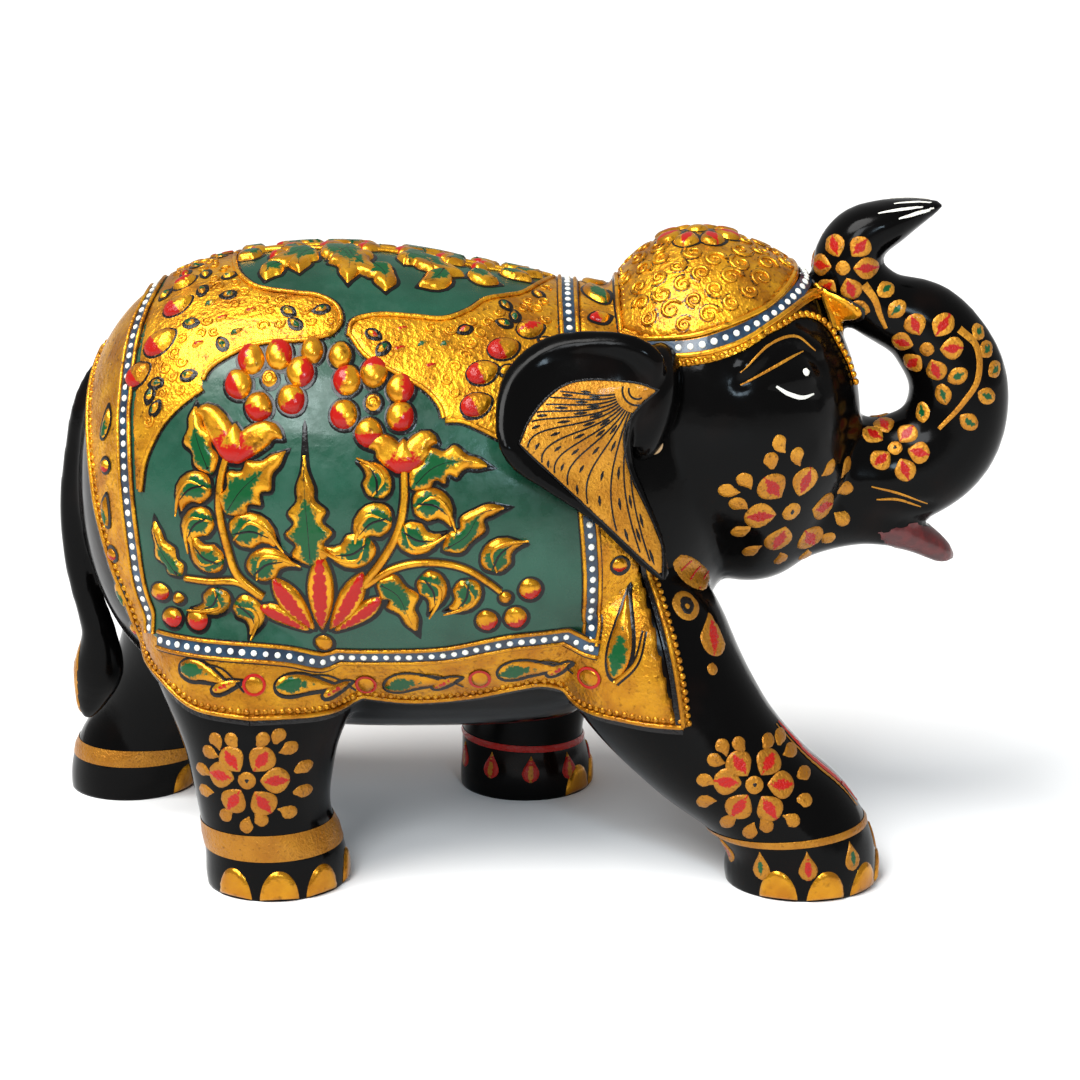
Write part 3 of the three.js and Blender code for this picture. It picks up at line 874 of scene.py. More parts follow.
# Gold panels fill the upper corners inside the border, embossed all over with small curls. Each ends
# in a tongue, is edged with a piped cord, and carries large red drops.
REAR_LOW = [(-107.9, 121), (-106.4, 130), (-102.9, 137.6), (-100, 141.8), (-96, 145.8), (-89.6, 150.4)]
REAR_HIGH = [(-89.8, 152.6), (-87.9, 155.6), (-80.3, 160.2), (-72.9, 162.4), (-59.9, 163.4),
             (-53.6, 164.7)]
REAR_TONGUE = [(-53.6, -40.6), (-50.8, -37.4), (-52.6, -32.8), (-58, -29.8), (-65, -28.4), (-76, -24.6),
               (-81.5, -18), (-84, -9), (-84.8, 0)]
FRONT_LOW = [(-48.4, 165), (-43.3, 159.4), (-34, 154.7), (-25.7, 150.3), (-21.9, 145.9), (-21, 143.2)]
FRONT_FOOT = [(-20.6, 142.6), (-15.7, 142.3), (-10.2, 140.1), (-4, 137), (5, 131.5), (16.2, 126)]
FRONT_TONGUE = [(-48.4, -40.7), (-47.6, -37.4), (-41, -35), (-31, -34), (-21.5, -33), (-14.4, -28.8),
                (-9.8, -23.6), (-3.4, -19.8), (1.3, -16.4), (6, -9), (10.4, 0)]
PANEL_GAP = 3  # from a panel's end to the middle of the border


def unrolled(places):
    """Places on the barrel in x and the distance round it."""
    return np.array([(x, GIRTH * math.atan2(y, z - AXIS)) for x, y, z in places])


def smooth_run(places, step=1.6):
    places = np.array(places, float)
    count = max(3, int(np.linalg.norm(np.diff(places, axis=0), axis=1).sum() / step))
    return through(places, np.linspace(0, 1, count))


def mirrored_back(flat):
    """The same run on the other side, in the other order."""
    return (flat * (1, -1))[::-1]


def shifted(line, x):
    return [(a + x, b) for a, b in line]


panels = Gesso()
rear_edge = [smooth_run(unrolled(side_places(REAR_LOW))), smooth_run(unrolled(side_places(REAR_HIGH))),
             smooth_run(unrolled(top_places(REAR_TONGUE)))]
rear_frame = side_places(shifted(FRAME_REAR_SIDE[3:], PANEL_GAP))
rear_frame += top_places(shifted(FRAME_REAR_TOP, PANEL_GAP))
rear_frame = smooth_run(unrolled(rear_frame))
half_edge = np.vstack(rear_edge)
rear_outline = np.vstack([half_edge[:-1], mirrored_back(half_edge), rear_frame[:-1] * (1, -1),
                          rear_frame[::-1]])
front_edge = [smooth_run(unrolled(side_places(FRONT_FOOT)))[::-1],
              smooth_run(unrolled(side_places(FRONT_LOW)))[::-1],
              smooth_run(unrolled(top_places(FRONT_TONGUE)))]
front_frame = side_places(shifted(FRAME_FRONT_SIDE[2:], -PANEL_GAP))
front_frame += top_places(shifted(FRAME_FRONT_TOP, -PANEL_GAP))
front_frame = smooth_run(unrolled(front_frame))
front_outline = np.vstack([np.vstack(front_edge), front_frame[::-1]])
PANEL = FIELD + 0.15
RED_DROPS = {
    "rear": [(-95.5, -12, 168.5, 3.4), (-96.5, -20.5, 165, 4.2), (-101, -28.5, 158, 4.8),
             (-106, -30.5, 149.5, 4.1)],
    "front": [(3.7, -31.4, 165.4, 3.9), (-4.1, -38.5, 160.8, 4.3), (-10.1, -44.5, 154.9, 4.3),
              (-11.7, -50.5, 147, 4.2)],
}
COMMA, COMMA_REACH = [(-2.4, -0.6), (0, 0.9), (2.2, 1.2)], 2.2
CURL_GAP = 4.7
COMMAS = {
    "rear": [(-84.5, -32, 166), (-88, -26, 168.6), (-76.5, -32, 168.5), (-80, -36.5, 163.5),
             (-90.5, -35.5, 159)],
    "front": [(-33.5, -43.5, 161), (-26.5, -42, 162.6), (-24.5, -46.5, 157), (-20, -41.5, 163),
              (-33, -39, 166)],
}


def round_about(turn, reach):
    """Places drawn about the middle, each at its own turn and reach."""
    return np.stack([reach * np.cos(turn), reach * np.sin(turn)], axis=1)


def curl(gesso, chart, size, turns, hand, thick, base, start=0.0):
    """A small embossed curl."""
    t = np.linspace(0, 1, 15)
    turn = start + hand * 2 * math.pi * turns * t
    reach = size * (1 - 0.8 * t)
    radii = thick * (0.55 + 0.45 * np.sin(np.pi * np.minimum(1, t + 0.25)))
    cord(gesso, on_chart(chart, round_about(turn, reach)), list(radii), base, sides=6)


GRAINS = 0.3  # the share of grains among the curls


def embossed(gesso, outline, clear, gap, base, seed):
    """Curls and grains over a panel, clear of the drops on it."""
    draw = random.Random(seed)
    low, high = outline.min(0), outline.max(0)
    for k, s in enumerate(np.arange(low[1], high[1], gap * 0.87)):
        for x in np.arange(low[0] + (gap / 2) * (k % 2), high[0], gap):
            at = np.array([[x + draw.uniform(-0.5, 0.5), s + draw.uniform(-0.5, 0.5)]])
            size, turn = draw.uniform(1.6, 2.2), draw.uniform(0, 6.28)
            hand = draw.choice((-1, 1))
            hit = over_back(*at[0])
            if depth_inside(at, outline)[0] < 2.6 or hit is None:
                continue
            if any((hit[0] - Vector(c[:3])).length < c[3] + 2 for c in clear):
                continue
            way = np.array((math.cos(turn), math.sin(turn)))
            if draw.random() < GRAINS:
                wash = draw.choice(("leaf", "leaf", "dash"))
                growth(gesso, spot(hit[0]), [-way * 2.1, way * 2.3], 1.35, 0.9, base, wash, steps=8,
                       rim=0.9, grain=1.0)
            else:
                curl(gesso, spot(hit[0]), size, 1.25, hand, 0.5, base, turn)


def over_side(side):
    return lambda x, s: over_back(x, -side * s)


pat(panels, over_back, rear_outline, 0.25, 1.5, PANEL, 1.5)
for side in (-1, 1):
    pat(panels, over_side(side), front_outline, 0.25, 1.5, PANEL, 1.5)
clear = {end: [] for end in RED_DROPS}
for side in (-1, 1):
    for end, drops in RED_DROPS.items():
        for x, y, z, size in drops:
            place = (x, -side * y, z)
            chart = spot(place)
            clear[end].append((*nearest(place)[0], size))
            spine = [(-size * 1.05, -size * 0.5), (size * 1.05, size * 0.5)]
            wash = "dash" if size < 4 else "base"
            growth(panels, chart, spine, size * 0.86, 1.9, PANEL + 0.1, wash, fullest=0.46,
                   ends=(0.5, 0.62), steps=11, rim=size * 0.9)
    for end, commas in COMMAS.items():
        for k, (x, y, z) in enumerate(commas):
            place = (x, -side * y, z)
            chart = spot(place)
            clear[end].append((*nearest(place)[0], COMMA_REACH))
            wash = "leaf" if k % 2 else "dash"
            growth(panels, chart, COMMA, 1.25, 1.0, PANEL, wash, fullest=0.4, steps=9, ink=False)
            outlined(panels, chart, vane(COMMA, 1.25, fullest=0.4, steps=9)[0], PANEL, 0.32, wash=GREEN)
embossed(panels, rear_outline, clear["rear"], CURL_GAP, PANEL + 0.3, 5)
for side in (-1, 1):
    outline = front_outline if side < 0 else front_outline * (1, -1)
    embossed(panels, outline, clear["front"], CURL_GAP, PANEL + 0.3, 7)
for side in (-1, 1):
    for run in rear_edge + front_edge:
        track = on_chart(over_side(side), run)
        strip(panels, track, 1.35, FIELD + 0.05, 0.1, BLACK)
        cord(panels, track, 0.72, PANEL + 0.25)
panels.piece("arch_panels", GOLD, "gold_paint", "arch_panel_rear", "arch_panel_front_right",
             "arch_panel_front_left")

# Two flower heads of gesso domes on each flank, each with six or more berries about a small coiled
# middle, gold above and red below.
FLOWER_HEADS = {
    "rear": ((-70.6, 153.7), [(-76, 158.4), (-68.1, 159.7), (-79.4, 151.9), (-61.8, 155.5),
                              (-73.4, 146.3), (-64.2, 148.4), (-58.6, 160.8), (-50.6, 159.6)]),
    "front": ((-41, 147.7), [(-48.5, 153.4), (-40.9, 155.3), (-33.4, 151.1), (-49.2, 144.6),
                             (-33.3, 143.9), (-42.1, 139.8)]),
}
BERRY, RINGED = 4.15, 6  # a berry's radius, and how many stand in the ring
RED_SIDE = np.array((0, -3.5))  # draws the red on a berry downwards
for side_name, side in SIDES.items():
    for end, (centre, berries) in FLOWER_HEADS.items():
        head = Gesso()
        chart = flanks[side_name]
        for k, berry in enumerate(berries):
            out = np.subtract(berry, centre) + RED_SIDE
            plain = k >= RINGED
            size = BERRY * (0.84 if plain else 1)
            dome(head, chart, berry, size, 2.8, FIELD, None if plain else "tip", out=out, grain=0.9)
        dome(head, chart, centre, 2.5, 0.9, FIELD)
        curl(head, spot(chart(*centre)[0]), 1.9, 1.5, 1, 0.42, FIELD + 0.95)
        head.piece(f"berry_flower_{end}_{side_name}_gesso", PIPED_GOLD, "red_paint",
                   f"berry_flower_{end}_{side_name}")

# The flower spray on each flank: two tulips on long stems, leaves of several kinds, and a lotus at the
# foot. Stems and leaves are piped in gesso, gold with a green heart, and edged in black.
STEMS = [
    ([(-82.2, 133.4), (-84, 127.1), (-84.7, 118), (-82.6, 107), (-80.1, 99.2), (-73.7, 93)], 1.0, 1.25),
    ([(-32.1, 130), (-32.1, 120.9), (-33.9, 112.7), (-38.6, 104.1), (-45.4, 95.6)], 1.0, 1.3),
    ([(-72.8, 92.7), (-80.1, 96.9), (-88.7, 96.6), (-95.6, 96.9)], 1.25, 0.9),
    ([(-44.4, 96.4), (-34.9, 102), (-25.7, 103.6), (-15.7, 101.9), (-7.8, 97), (-5, 94.6)], 1.2, 0.85),
]
ROUND_LEAVES = [
    # place, width, and the tail's end
    ((-91.8, 123.8), 4.7, (-98.6, 119.2)), ((-91, 113.9), 4.5, (-95.6, 108.6)),
    ((-88.4, 103.7), 4.5, (-94.6, 108.4)), ((-76.0, 112.6), 5.4, (-67.4, 111.6)),
    ((-71.9, 102.8), 5.0, (-63.4, 106.4)), ((-86.7, 90.3), 4.3, (-91.4, 84.6)),
    ((-77.3, 88.2), 4.5, (-74.2, 81.8)), ((-40.7, 115.8), 5.0, (-48.4, 110.8)),
    ((-45.9, 107.0), 5.2, (-53.4, 104.6)), ((-39.6, 126.5), 4.2, (-41.6, 132.6)),
    ((-24.5, 120.3), 4.9, (-17.2, 117.2)), ((-29.3, 110.6), 4.8, (-21.5, 108.4)),
    ((-5.9, 105.3), 4.6, (-0.4, 111.6)), ((-24.3, 96.4), 4.4, (-22.4, 90.4)),
    ((-14.4, 94), 4.3, (-17.2, 88.4)),
]
VEIN = [0.1, 0.3, 0.35, 0.35, 0.3, 0.25, 0.15, 0.1]  # half widths along a round leaf's vein
SCROLLS = [
    # spine, width, lobes
    ([(-86.6, 127.6), (-89.6, 134.4), (-91.4, 140.4), (-91.6, 147.4)], 4.4, 3),
    ([(-82.8, 116.6), (-78.2, 123.4), (-72.4, 128.8), (-64.6, 135.6)], 6.0, 4),
    ([(-96.4, 97.4), (-99.4, 101.6), (-102.6, 107.4), (-104.2, 115)], 3.2, 3),
    ([(-58.6, 102.4), (-59.2, 113), (-60, 124), (-60.4, 143)], 6.2, 5),
    ([(-30.4, 124.4), (-23.6, 130.2), (-16.4, 131.8), (-6.6, 130)], 5.0, 4),
    ([(-21.6, 107.2), (-14.6, 111.4), (-10.4, 117.4), (-1.6, 119.2)], 3.9, 3),
    ([(-40.4, 98.4), (-34.4, 94.6), (-31.6, 88.6), (-28.4, 80.6)], 4.9, 3),
]
MOST_LOBES = 5  # those of the spear in the middle
TULIPS = [
    # base, left tip, right tip
    ((-81.2, 131.4), (-88.6, 144.0), (-69.4, 139.6)),
    ((-32.1, 129.1), (-40.0, 136.6), (-25.0, 137.4)),
]
CORNER_BERRIES = [(-103.4, 91.6, 2.9), (-97.9, 90.3, 1.9), (-99.9, 83.6, 3.1), (-92.4, 83.9, 3.3),
                  (3.4, 95, 3.4), (-8.9, 85.7, 3.4), (-0.7, 86.4, 3.5), (-3.6, 92.8, 2.0)]
LOTUS_PETALS = [
    # base, middle, tip, width
    ((-59.8, 82.4), (-68.4, 87.4), (-74.6, 90.0), 2.9),
    ((-53.2, 82.4), (-44.4, 88.6), (-38.4, 93.6), 2.9),
    ((-58.4, 82.8), (-64.6, 91.4), (-70.2, 99.4), 3.7),
    ((-54.2, 82.8), (-48.2, 92.2), (-43.8, 101.4), 3.7), ((-56.2, 82.4), (-56.2, 94), (-56, 107.4), 4.0)]

for side_name, side in SIDES.items():
    chart = flanks[side_name]
    spray = Gesso()
    for line, thick, thin in STEMS:
        stem(spray, chart, line, thick, thin, FIELD)
    for k, (place, size, tail) in enumerate(ROUND_LEAVES):
        place, away = np.array(place), np.subtract(tail, place)
        away = away / np.hypot(*away)
        aside = np.array([-away[1], away[0]]) * (1 if away[0] > 0 else -1)
        if k % 3 == 2:
            aside = -aside

        def leaf_line(*turns):
            """Places on the leaf, each so much of its size along it and aside."""
            return [place + away * size * far + aside * size * wide for far, wide in turns]

        leaf = leaf_line((-0.95, -0.5), (-0.1, -0.05), (0.85, -0.1), (1.75, -0.95))
        growth(spray, chart, leaf, size * 1.02, 2.0, FIELD, "leaf", fullest=0.36, ends=(0.45, 1.5),
               steps=15, rim=size * 0.8)
        fold = leaf_line((-0.75, -0.62), (0, 0.42), (0.95, 0.12), (1.9, -0.85))
        fold_radii = list(0.25 + 0.5 * np.sin(np.pi * np.linspace(0.05, 0.98, 12)))
        cord(spray, on_chart(chart, through(fold, np.linspace(0, 1, 12))), fold_radii, FIELD + 1.5,
             sides=6)
        vein = leaf_line((-0.8, -0.3), (0.2, 0), (1.1, -0.2))
        strip(spray, on_chart(chart, through(vein, np.linspace(0, 1, 8))), VEIN, FIELD + 2.0, 0.08, BLACK)
    for line, size, lobes in SCROLLS:
        spear = lobes == MOST_LOBES
        growth(spray, chart, line, size * 1.12, 1.8, FIELD, "leaf", fullest=0.3 if spear else 0.4,
               ends=(0.6, 2.2) if spear else (0.6, 1.25), lobes=lobes, depth=0.36, rim=2.0)
        middle = through(line, np.linspace(0.08, 0.8, 12))
        strip(spray, on_chart(chart, middle), list(np.linspace(0.4, 0.12, 12)), FIELD + 1.75, 0.08, BLACK)
    for base, left, right in TULIPS:
        base, left, right = np.array(base), np.array(left), np.array(right)
        notch = base * 0.42 + (left + right) * 0.29
        for tip, sign in ((left, 1), (right, -1)):
            out = tip - base
            bent = np.array((-out[1], out[0])) * sign
            petal = [base, base + out * 0.5 - bent * 0.1, tip - bent * 0.02,
                     tip + out * 0.12 + bent * 0.24]
            growth(spray, chart, petal, 3.9, 2.2, FIELD, "base", fullest=0.4, ends=(0.5, 1.1), steps=15,
                   rim=2.8, lean=-0.1)
        heart = [base - (0, 0.5), base * 0.6 + notch * 0.4 + (0, 1.5), notch + (0, 4.6)]
        growth(spray, chart, heart, 4.6, 2.6, FIELD + 0.1, "base", fullest=0.45, ends=(0.5, 0.9),
               steps=13, lean=0.1)
    for x, z, size in CORNER_BERRIES:
        dome(spray, chart, (x, z), size, 1.9, FIELD, "tip" if size > 2.5 else None, out=(0.3, -1),
             grain=0.9)
    spray.piece(f"flower_spray_{side_name}", PIPED_GOLD, "gold_paint")
    lotus = Gesso()
    for k, (base, middle, tip, size) in enumerate(LOTUS_PETALS):
        growth(lotus, chart, [base, middle, tip], size, 1.7 + 0.15 * k, FIELD, "stripe", fullest=0.56,
               ends=(0.6, 0.85), steps=15, rim=2.2)
    dome(lotus, chart, (-56.2, 78.4), 2.9, 1.5, FIELD)
    lotus.piece(f"lotus_{side_name}_gesso", PIPED_GOLD, "red_paint", f"lotus_{side_name}")

# A vine of pointed leaves and red-ringed berries runs along the cloth's outer band, between the dotted
# border and the hem.
BAND_BERRIES = [(-76.3, 66.2), (-44.8, 63.4), (-11.2, 65.4), (21.8, 66.2)]
BAND_LEAVES = [
    ((-98, 69.4), (-82, 65.4)), ((-70.6, 65.4), (-51.4, 62.6)), ((-39.4, 62.6), (-19, 64)),
    ((-6, 67), (14.6, 67.6)),
]
# x, z and half a leaf's length, up the rear of the cloth; every other one is a round berry
REAR_BAND = [(-113.6, 76, 4), (-116.6, 88, 5), (-118.6, 100, 4), (-119.6, 113, 5), (-119.8, 126, 4),
             (-119.8, 138, 5)]
BAND, BAND_BERRY = CLOTH + 0.1, 2.9
for side_name, side in SIDES.items():
    chart = flanks[side_name]
    vine = Gesso()
    for x, z in BAND_BERRIES:
        dome(vine, chart, (x, z), BAND_BERRY, 0.8, BAND, None, ink=False)
        turns = np.linspace(0, 2 * math.pi, 18, endpoint=False)
        ring = [(x + BAND_BERRY * math.cos(a), z + BAND_BERRY * math.sin(a)) for a in turns]
        strip(vine, on_chart(chart, ring, True), 0.45, BAND + 0.3, 0.15, RED)
    for base, tip in BAND_LEAVES:
        base, tip = np.array(base), np.array(tip)
        bow = (base + tip) / 2 + np.array((0, 2.0))
        growth(vine, chart, [base, base * 0.6 + tip * 0.4 + (0, 1.6), tip], 3.3, 0.9, BAND, "leaf",
               fullest=0.33, ends=(0.7, 1.3), steps=15, rim=2)
        growth(vine, chart, [tip - (6.4, 1.6), tip - (2.6, -0.4), tip + (2.6, 2.2)], 1.7, 0.8, BAND,
               "dash", fullest=0.4, steps=11, rim=1.4)
        tendril = through([base + (1.5, 0.8), bow + (4, 1.6), tip + (3, -1.4)], np.linspace(0, 1, 12))
        strip(vine, on_chart(chart, tendril), 0.3, BAND + 0.25, 0.1, BLACK)
    for k, (x, z, size) in enumerate(REAR_BAND):
        at = spot(chart(x, z)[0], right=(0, 0, 1))
        if k % 2:
            growth(vine, at, [(-size, 0), (0, 0.9), (size, 0)], 1.9, 0.9, BAND, "leaf", fullest=0.45,
                   steps=13, rim=1.6)
        else:
            dome(vine, at, (0, 0), 2.1, 1.1, BAND, "tip", out=(-1, 0))
    growth(vine, chart, [(28.6, 66.8), (30.6, 78), (32.6, 93.4)], 3.4, 1.1, BAND, "leaf", fullest=0.36,
           ends=(0.7, 1.4), steps=15, rim=2)
    stem(vine, chart, [(29, 66), (34.6, 72), (37, 80.6)], 0.8, 0.3, BAND)
    dome(vine, chart, (29.2, 100), 2.4, 1.2, BAND, "tip")
    vine.piece(f"vine_{side_name}", PIPED_GOLD, "gold_paint")

# Gold leaves and red buds of piped gesso cover the ridge of the green middle, close together, on both
# sides of a long stem.
RIDGE_LEAVES = [
    # base, tip, width, lobes
    ((-58, -2), (-49.6, -24), 5.2, 3), ((-52, -3), (-38, -20), 4.6, 3), ((-62, -3), (-75, -13), 4.4, 2),
    ((-60, -6), (-64, -19), 4.0, 2), ((-36, -5), (-24.5, -15), 4.4, 2), ((-30, -3), (-15, -13), 4.0, 2),
    ((-22, -12), (-30, -22), 3.4, 0), ((-14, -8), (-5, -14), 3.2, 0), ((-6, -5), (4.5, -8.5), 2.8, 0),
    ((-76, -4), (-83.5, -8), 3.0, 0), ((-44, -14), (-38.6, -26), 4.0, 2),
    ((-69, -14), (-74, -21), 3.0, 0), ((-50, -1), (-57, -12), 3.6, 2), ((-28, -1), (-34, -12), 3.4, 2),
    ((-66, -1), (-72, -5), 3.0, 0), ((-16, -1), (-22, -6), 3.0, 0), ((-2, -1), (8, -3), 2.6, 0),
]
RIDGE_BUDS = [(-56, 0, 3.6), (-45, 0, 3.3), (-34, 0, 3.2), (-67, 0, 3.2), (-22, 0, 3.0), (-78, 0, 2.7),
              (-10, 0, 2.6), (-71, -7.5, 2.6), (-46, -8.5, 2.7), (-25.5, -7.5, 2.5), (-12, -4, 2.3)]
BUD, BEND = 1.2, 0.16  # the buds' size, and how far a leaf bends for its length
ridge = Gesso()
for side in (-1, 1):
    chart = over_side(side)
    for k, (base, tip, size, lobes) in enumerate(RIDGE_LEAVES):
        base, tip = np.array(base, float), np.array(tip, float)
        along = tip - base
        bow = (base + tip) / 2 + np.array((along[1], -along[0])) * (BEND if k % 2 else -BEND)
        growth(ridge, chart, [base, bow, tip], size * 1.25, 2.0, FIELD, "leaf", fullest=0.42,
               ends=(0.6, 1.2), lobes=lobes, depth=0.3, rim=2.0, steps=None if lobes else 13)
        vein = through([base, bow, tip], np.linspace(0.1, 0.8, 9))
        strip(ridge, on_chart(chart, vein), list(np.linspace(0.4, 0.12, 9)), FIELD + 1.95, 0.08, BLACK)
    for x, y, size in RIDGE_BUDS:
        if y or side < 0:  # those on the ridge itself are laid once
            dome(ridge, chart, (x, y), size * BUD, 2.0, FIELD, "base", out=(1, -0.4), grain=0.9)
    stem(ridge, chart, [(-82, 0), (-60, -2.4), (-40, -1.6), (-20, -2.6), (6, -1.4)], 1.1, 0.7, FIELD)
ridge.piece("ridge_leaves", PIPED_GOLD, "gold_paint")

# The ears are fans of wood let into the neck on dowels: black, with a thick rolled rim and a gold fan
# painted inside, ribbed and dashed in black.
EAR_MIDDLE, EAR_HALF, RIM_ROLL = (20, 143), 2.9, 1.9
EAR_GRAIN, EAR_SANDINGS = 0.95, 5
ROOT, ROOT_TURN, ROOT_PLACE = (9, 15, 19), 0.25, (39, 36, 144)  # the thick part against the neck
EAR_RIM = [
    (36, 166), (22, 167.5), (8, 165), (-3, 156), (-5.5, 143), (-1, 132), (9, 124.5), (23.6, 113.8),
    (35.2, 102.2), (44, 96), (43.5, 107), (38.5, 120), (34.5, 131), (35, 142), (41, 150), (43, 160)]
FAN_EDGE = [
    [(40.5, 151.2), (36, 153), (30.3, 154), (21.1, 154.6), (14, 153.4), (8.2, 149.6), (3.4, 144.2),
     (0.6, 138.7)],
    [(0.6, 138.7), (8, 131), (16.9, 122.4), (35.4, 103.8), (41.9, 97.6)],
    [(41.9, 97.6), (41.6, 106.4), (37.5, 116.7), (32.2, 128.4), (30.6, 138.5), (32.6, 143.7), (36, 147.6),
     (40.5, 151.2)]]
FAN_HUB, HUB_REACH, RIBS = (34.4, 151.4), 6.6, 14
FAN_FACE = 0.5  # where the black lines lie above the ear's face


def round_loop(points, around):
    """Places round a closed smooth line."""
    wrapped = list(points[-2:]) + list(points) + list(points[:3])
    return through(wrapped, (2 + around * len(points)) / (len(wrapped) - 1))


def ear(side):
    """One ear's wood, its face outwards."""
    bm = bmesh.new()
    verts = bmesh.ops.create_uvsphere(bm, u_segments=96, v_segments=40, radius=1)["verts"]
    ball = np.array([v.co for v in verts])
    around = (np.arctan2(ball[:, 1], ball[:, 0]) / (2 * np.pi)) % 1
    reach = np.sqrt(np.maximum(0, 1 - ball[:, 2] ** 2))
    edge = round_loop(EAR_RIM, around) * reach[:, None] + np.array(EAR_MIDDLE) * (1 - reach)[:, None]
    x, z = edge.T
    # the flap stands further from the neck towards its back and foot
    bow = 48 + 0.4 * (40 - x) + 0.3 * np.maximum(0, 130 - z) - 0.02 * (40 - x) * np.maximum(0, z - 138)
    half = EAR_HALF * np.sign(ball[:, 2]) * np.sqrt(np.abs(ball[:, 2])) * (1 - 0.25 * reach)
    behind = np.clip((36 - x + 0.5 * (z - 130)) / 14, 0, 1)
    half += np.where(ball[:, 2] > 0, RIM_ROLL * behind * np.exp(-((reach - 0.88) / 0.1) ** 2), 0)
    for v, a, y, c in zip(verts, x, bow + half, z):
        v.co = (a + MIDDLE[0], side * y + MIDDLE[1], c)
    root = bmesh.ops.create_uvsphere(bm, u_segments=40, v_segments=24, radius=1)["verts"]
    bmesh.ops.scale(bm, vec=ROOT, verts=root)
    bmesh.ops.rotate(bm, verts=root, matrix=Matrix.Rotation(ROOT_TURN, 3, "Y"))
    x, y, z = ROOT_PLACE
    bmesh.ops.translate(bm, vec=(x + MIDDLE[0], side * y + MIDDLE[1], z), verts=root)
    return sanded(f"ear_wood_{'right' if side < 0 else 'left'}", bm, EAR_GRAIN, EAR_SANDINGS)


for side_name, side in SIDES.items():
    flap = ear(side)
    flap.data.shade_smooth()
    skin = skin_of(flap.data)
    chart = flank(side, skin, 50)
    fan = Gesso()
    edges = [smooth_run(part, 1.4) for part in FAN_EDGE]
    outline = np.vstack([part[:-1] for part in edges])
    pat(fan, chart, outline, 0.3, 0.7, 0.15, 1.3)
    far_edge = smooth_run(FAN_EDGE[0][-3:] + FAN_EDGE[1][1:], 1.0)
    hub = np.array(FAN_HUB)
    ends = far_edge[np.linspace(0, len(far_edge) - 2, RIBS + 1).astype(int)]
    ribs = []
    for k, end in enumerate(ends):
        turn = math.radians(183 + 84 * k / RIBS)
        out = np.array((math.cos(turn), math.sin(turn)))
        start = hub + out * HUB_REACH
        far = np.linalg.norm(end - start)
        bend, rise = start + out * far * 0.42, end + np.array((-0.12, 0.36)) * far
        t = np.linspace(0, 1, 22)[:, None]
        near = (1 - t) ** 3 * start + 3 * t * (1 - t) ** 2 * bend
        ribs.append(near + 3 * t ** 2 * (1 - t) * rise + t ** 3 * end)
    for k, rib in enumerate(ribs):
        if 0 < k < RIBS:
            inside = rib[depth_inside(rib, outline) > 0.3]
            if len(inside) > 3:
                strip(fan, on_chart(chart, inside), 0.27, FAN_FACE, 0.08, BLACK)
        if k < RIBS:
            between_ribs = (rib + ribs[k + 1]) / 2
            for share in ((0.2, 0.45, 0.7, 0.93) if k % 2 else (0.32, 0.58, 0.82)):
                i = int(share * 21)
                dash = between_ribs[max(0, i - 1):i + 2]
                if len(dash) > 2 and depth_inside(dash, outline).min() > 0.6:
                    strip(fan, on_chart(chart, dash), [0.2, 0.5, 0.15], FAN_FACE, 0.08, BLACK)
    for reach in (2.6, 4.4):
        turns = np.radians(np.linspace(165, 300, 14))
        arc = hub + round_about(turns, 1) * reach
        arc = arc[depth_inside(arc, outline) > 0.2]
        if len(arc) > 3:
            strip(fan, on_chart(chart, arc), 0.3, FAN_FACE, 0.08, BLACK)
    strip(fan, on_chart(chart, outline, True), 0.3, 0.3, 0.1, BLACK)
    fan.piece(f"ear_fan_{side_name}", BRUSHED_GOLD, "gold_paint")
    finish_piece(metres(flap), LACQUER, "black_lacquer", f"ear_{side_name}")

# The ears' dowels are bare turned wood, two to an ear, glued into blind holes in the ear and the neck
# where nothing shows of them.
dowel_wood, nodes, links, bsdf = shader("bare_dowel", (0.48, 0.30, 0.15), 0.75)
links.new(blended(nodes, links, speckle(nodes, links, 500), (0.40, 0.24, 0.11), (0.56, 0.37, 0.19)),
          bsdf.inputs["Base Color"])
for name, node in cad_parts.items():
    if name.startswith("ear_dowel"):
        node.data.materials.clear()
        node.data.materials.append(dowel_wood)

# The collar is a gold band behind the ears, with a green-hearted leaf on the nape and a cord each side.
COLLAR = [(17.4, 205), (17.4, 166), (22, 142), (30.6, 139), (30.6, 205)]
collar = layer("collar", inside_of(COLLAR), CLOTH, 0.1)
finish_piece(metres(collar), GOLD, "gold_paint", "neck_band")
nape = Gesso()
collar_edge = side_places([(30.6, 142), (30.6, 150), (30.6, 158)])
collar_edge += top_places([(30.6, -20), (30.6, -10), (30.6, 0)])
nape_track = on_wood(over(collar_edge))
cord(nape, nape_track, 0.8, CLOTH)
strip(nape, nape_track, 0.7, CLOTH + 0.1, 0.1, BLACK, 1.2)
beads(nape, nape_track, 2.2, 0.85, CLOTH - 0.1, shift=-2.2, seed=41)
for side in (-1, 1):
    chart = spot(top_places([(23.6, -7.5)], side)[0], up=(0, -side, 0))
    growth(nape, chart, [(2.8, -6.4), (-0.8, 0.5), (-3.2, 7)], 4.4, 1.5, CLOTH, "leaf", fullest=0.4,
           ends=(0.6, 1.2), steps=15, rim=2.2)
    chart = spot(top_places([(24, -21)], side)[0], up=(0, -side, 0))
    growth(nape, chart, [(-3.4, -1.4), (3.6, 1.6)], 2.6, 1.2, CLOTH, "base", fullest=0.5, ends=(0.6, 1.1),
           steps=12, rim=2)
nape.piece("collar_ornament", PIPED_GOLD, "gold_paint")

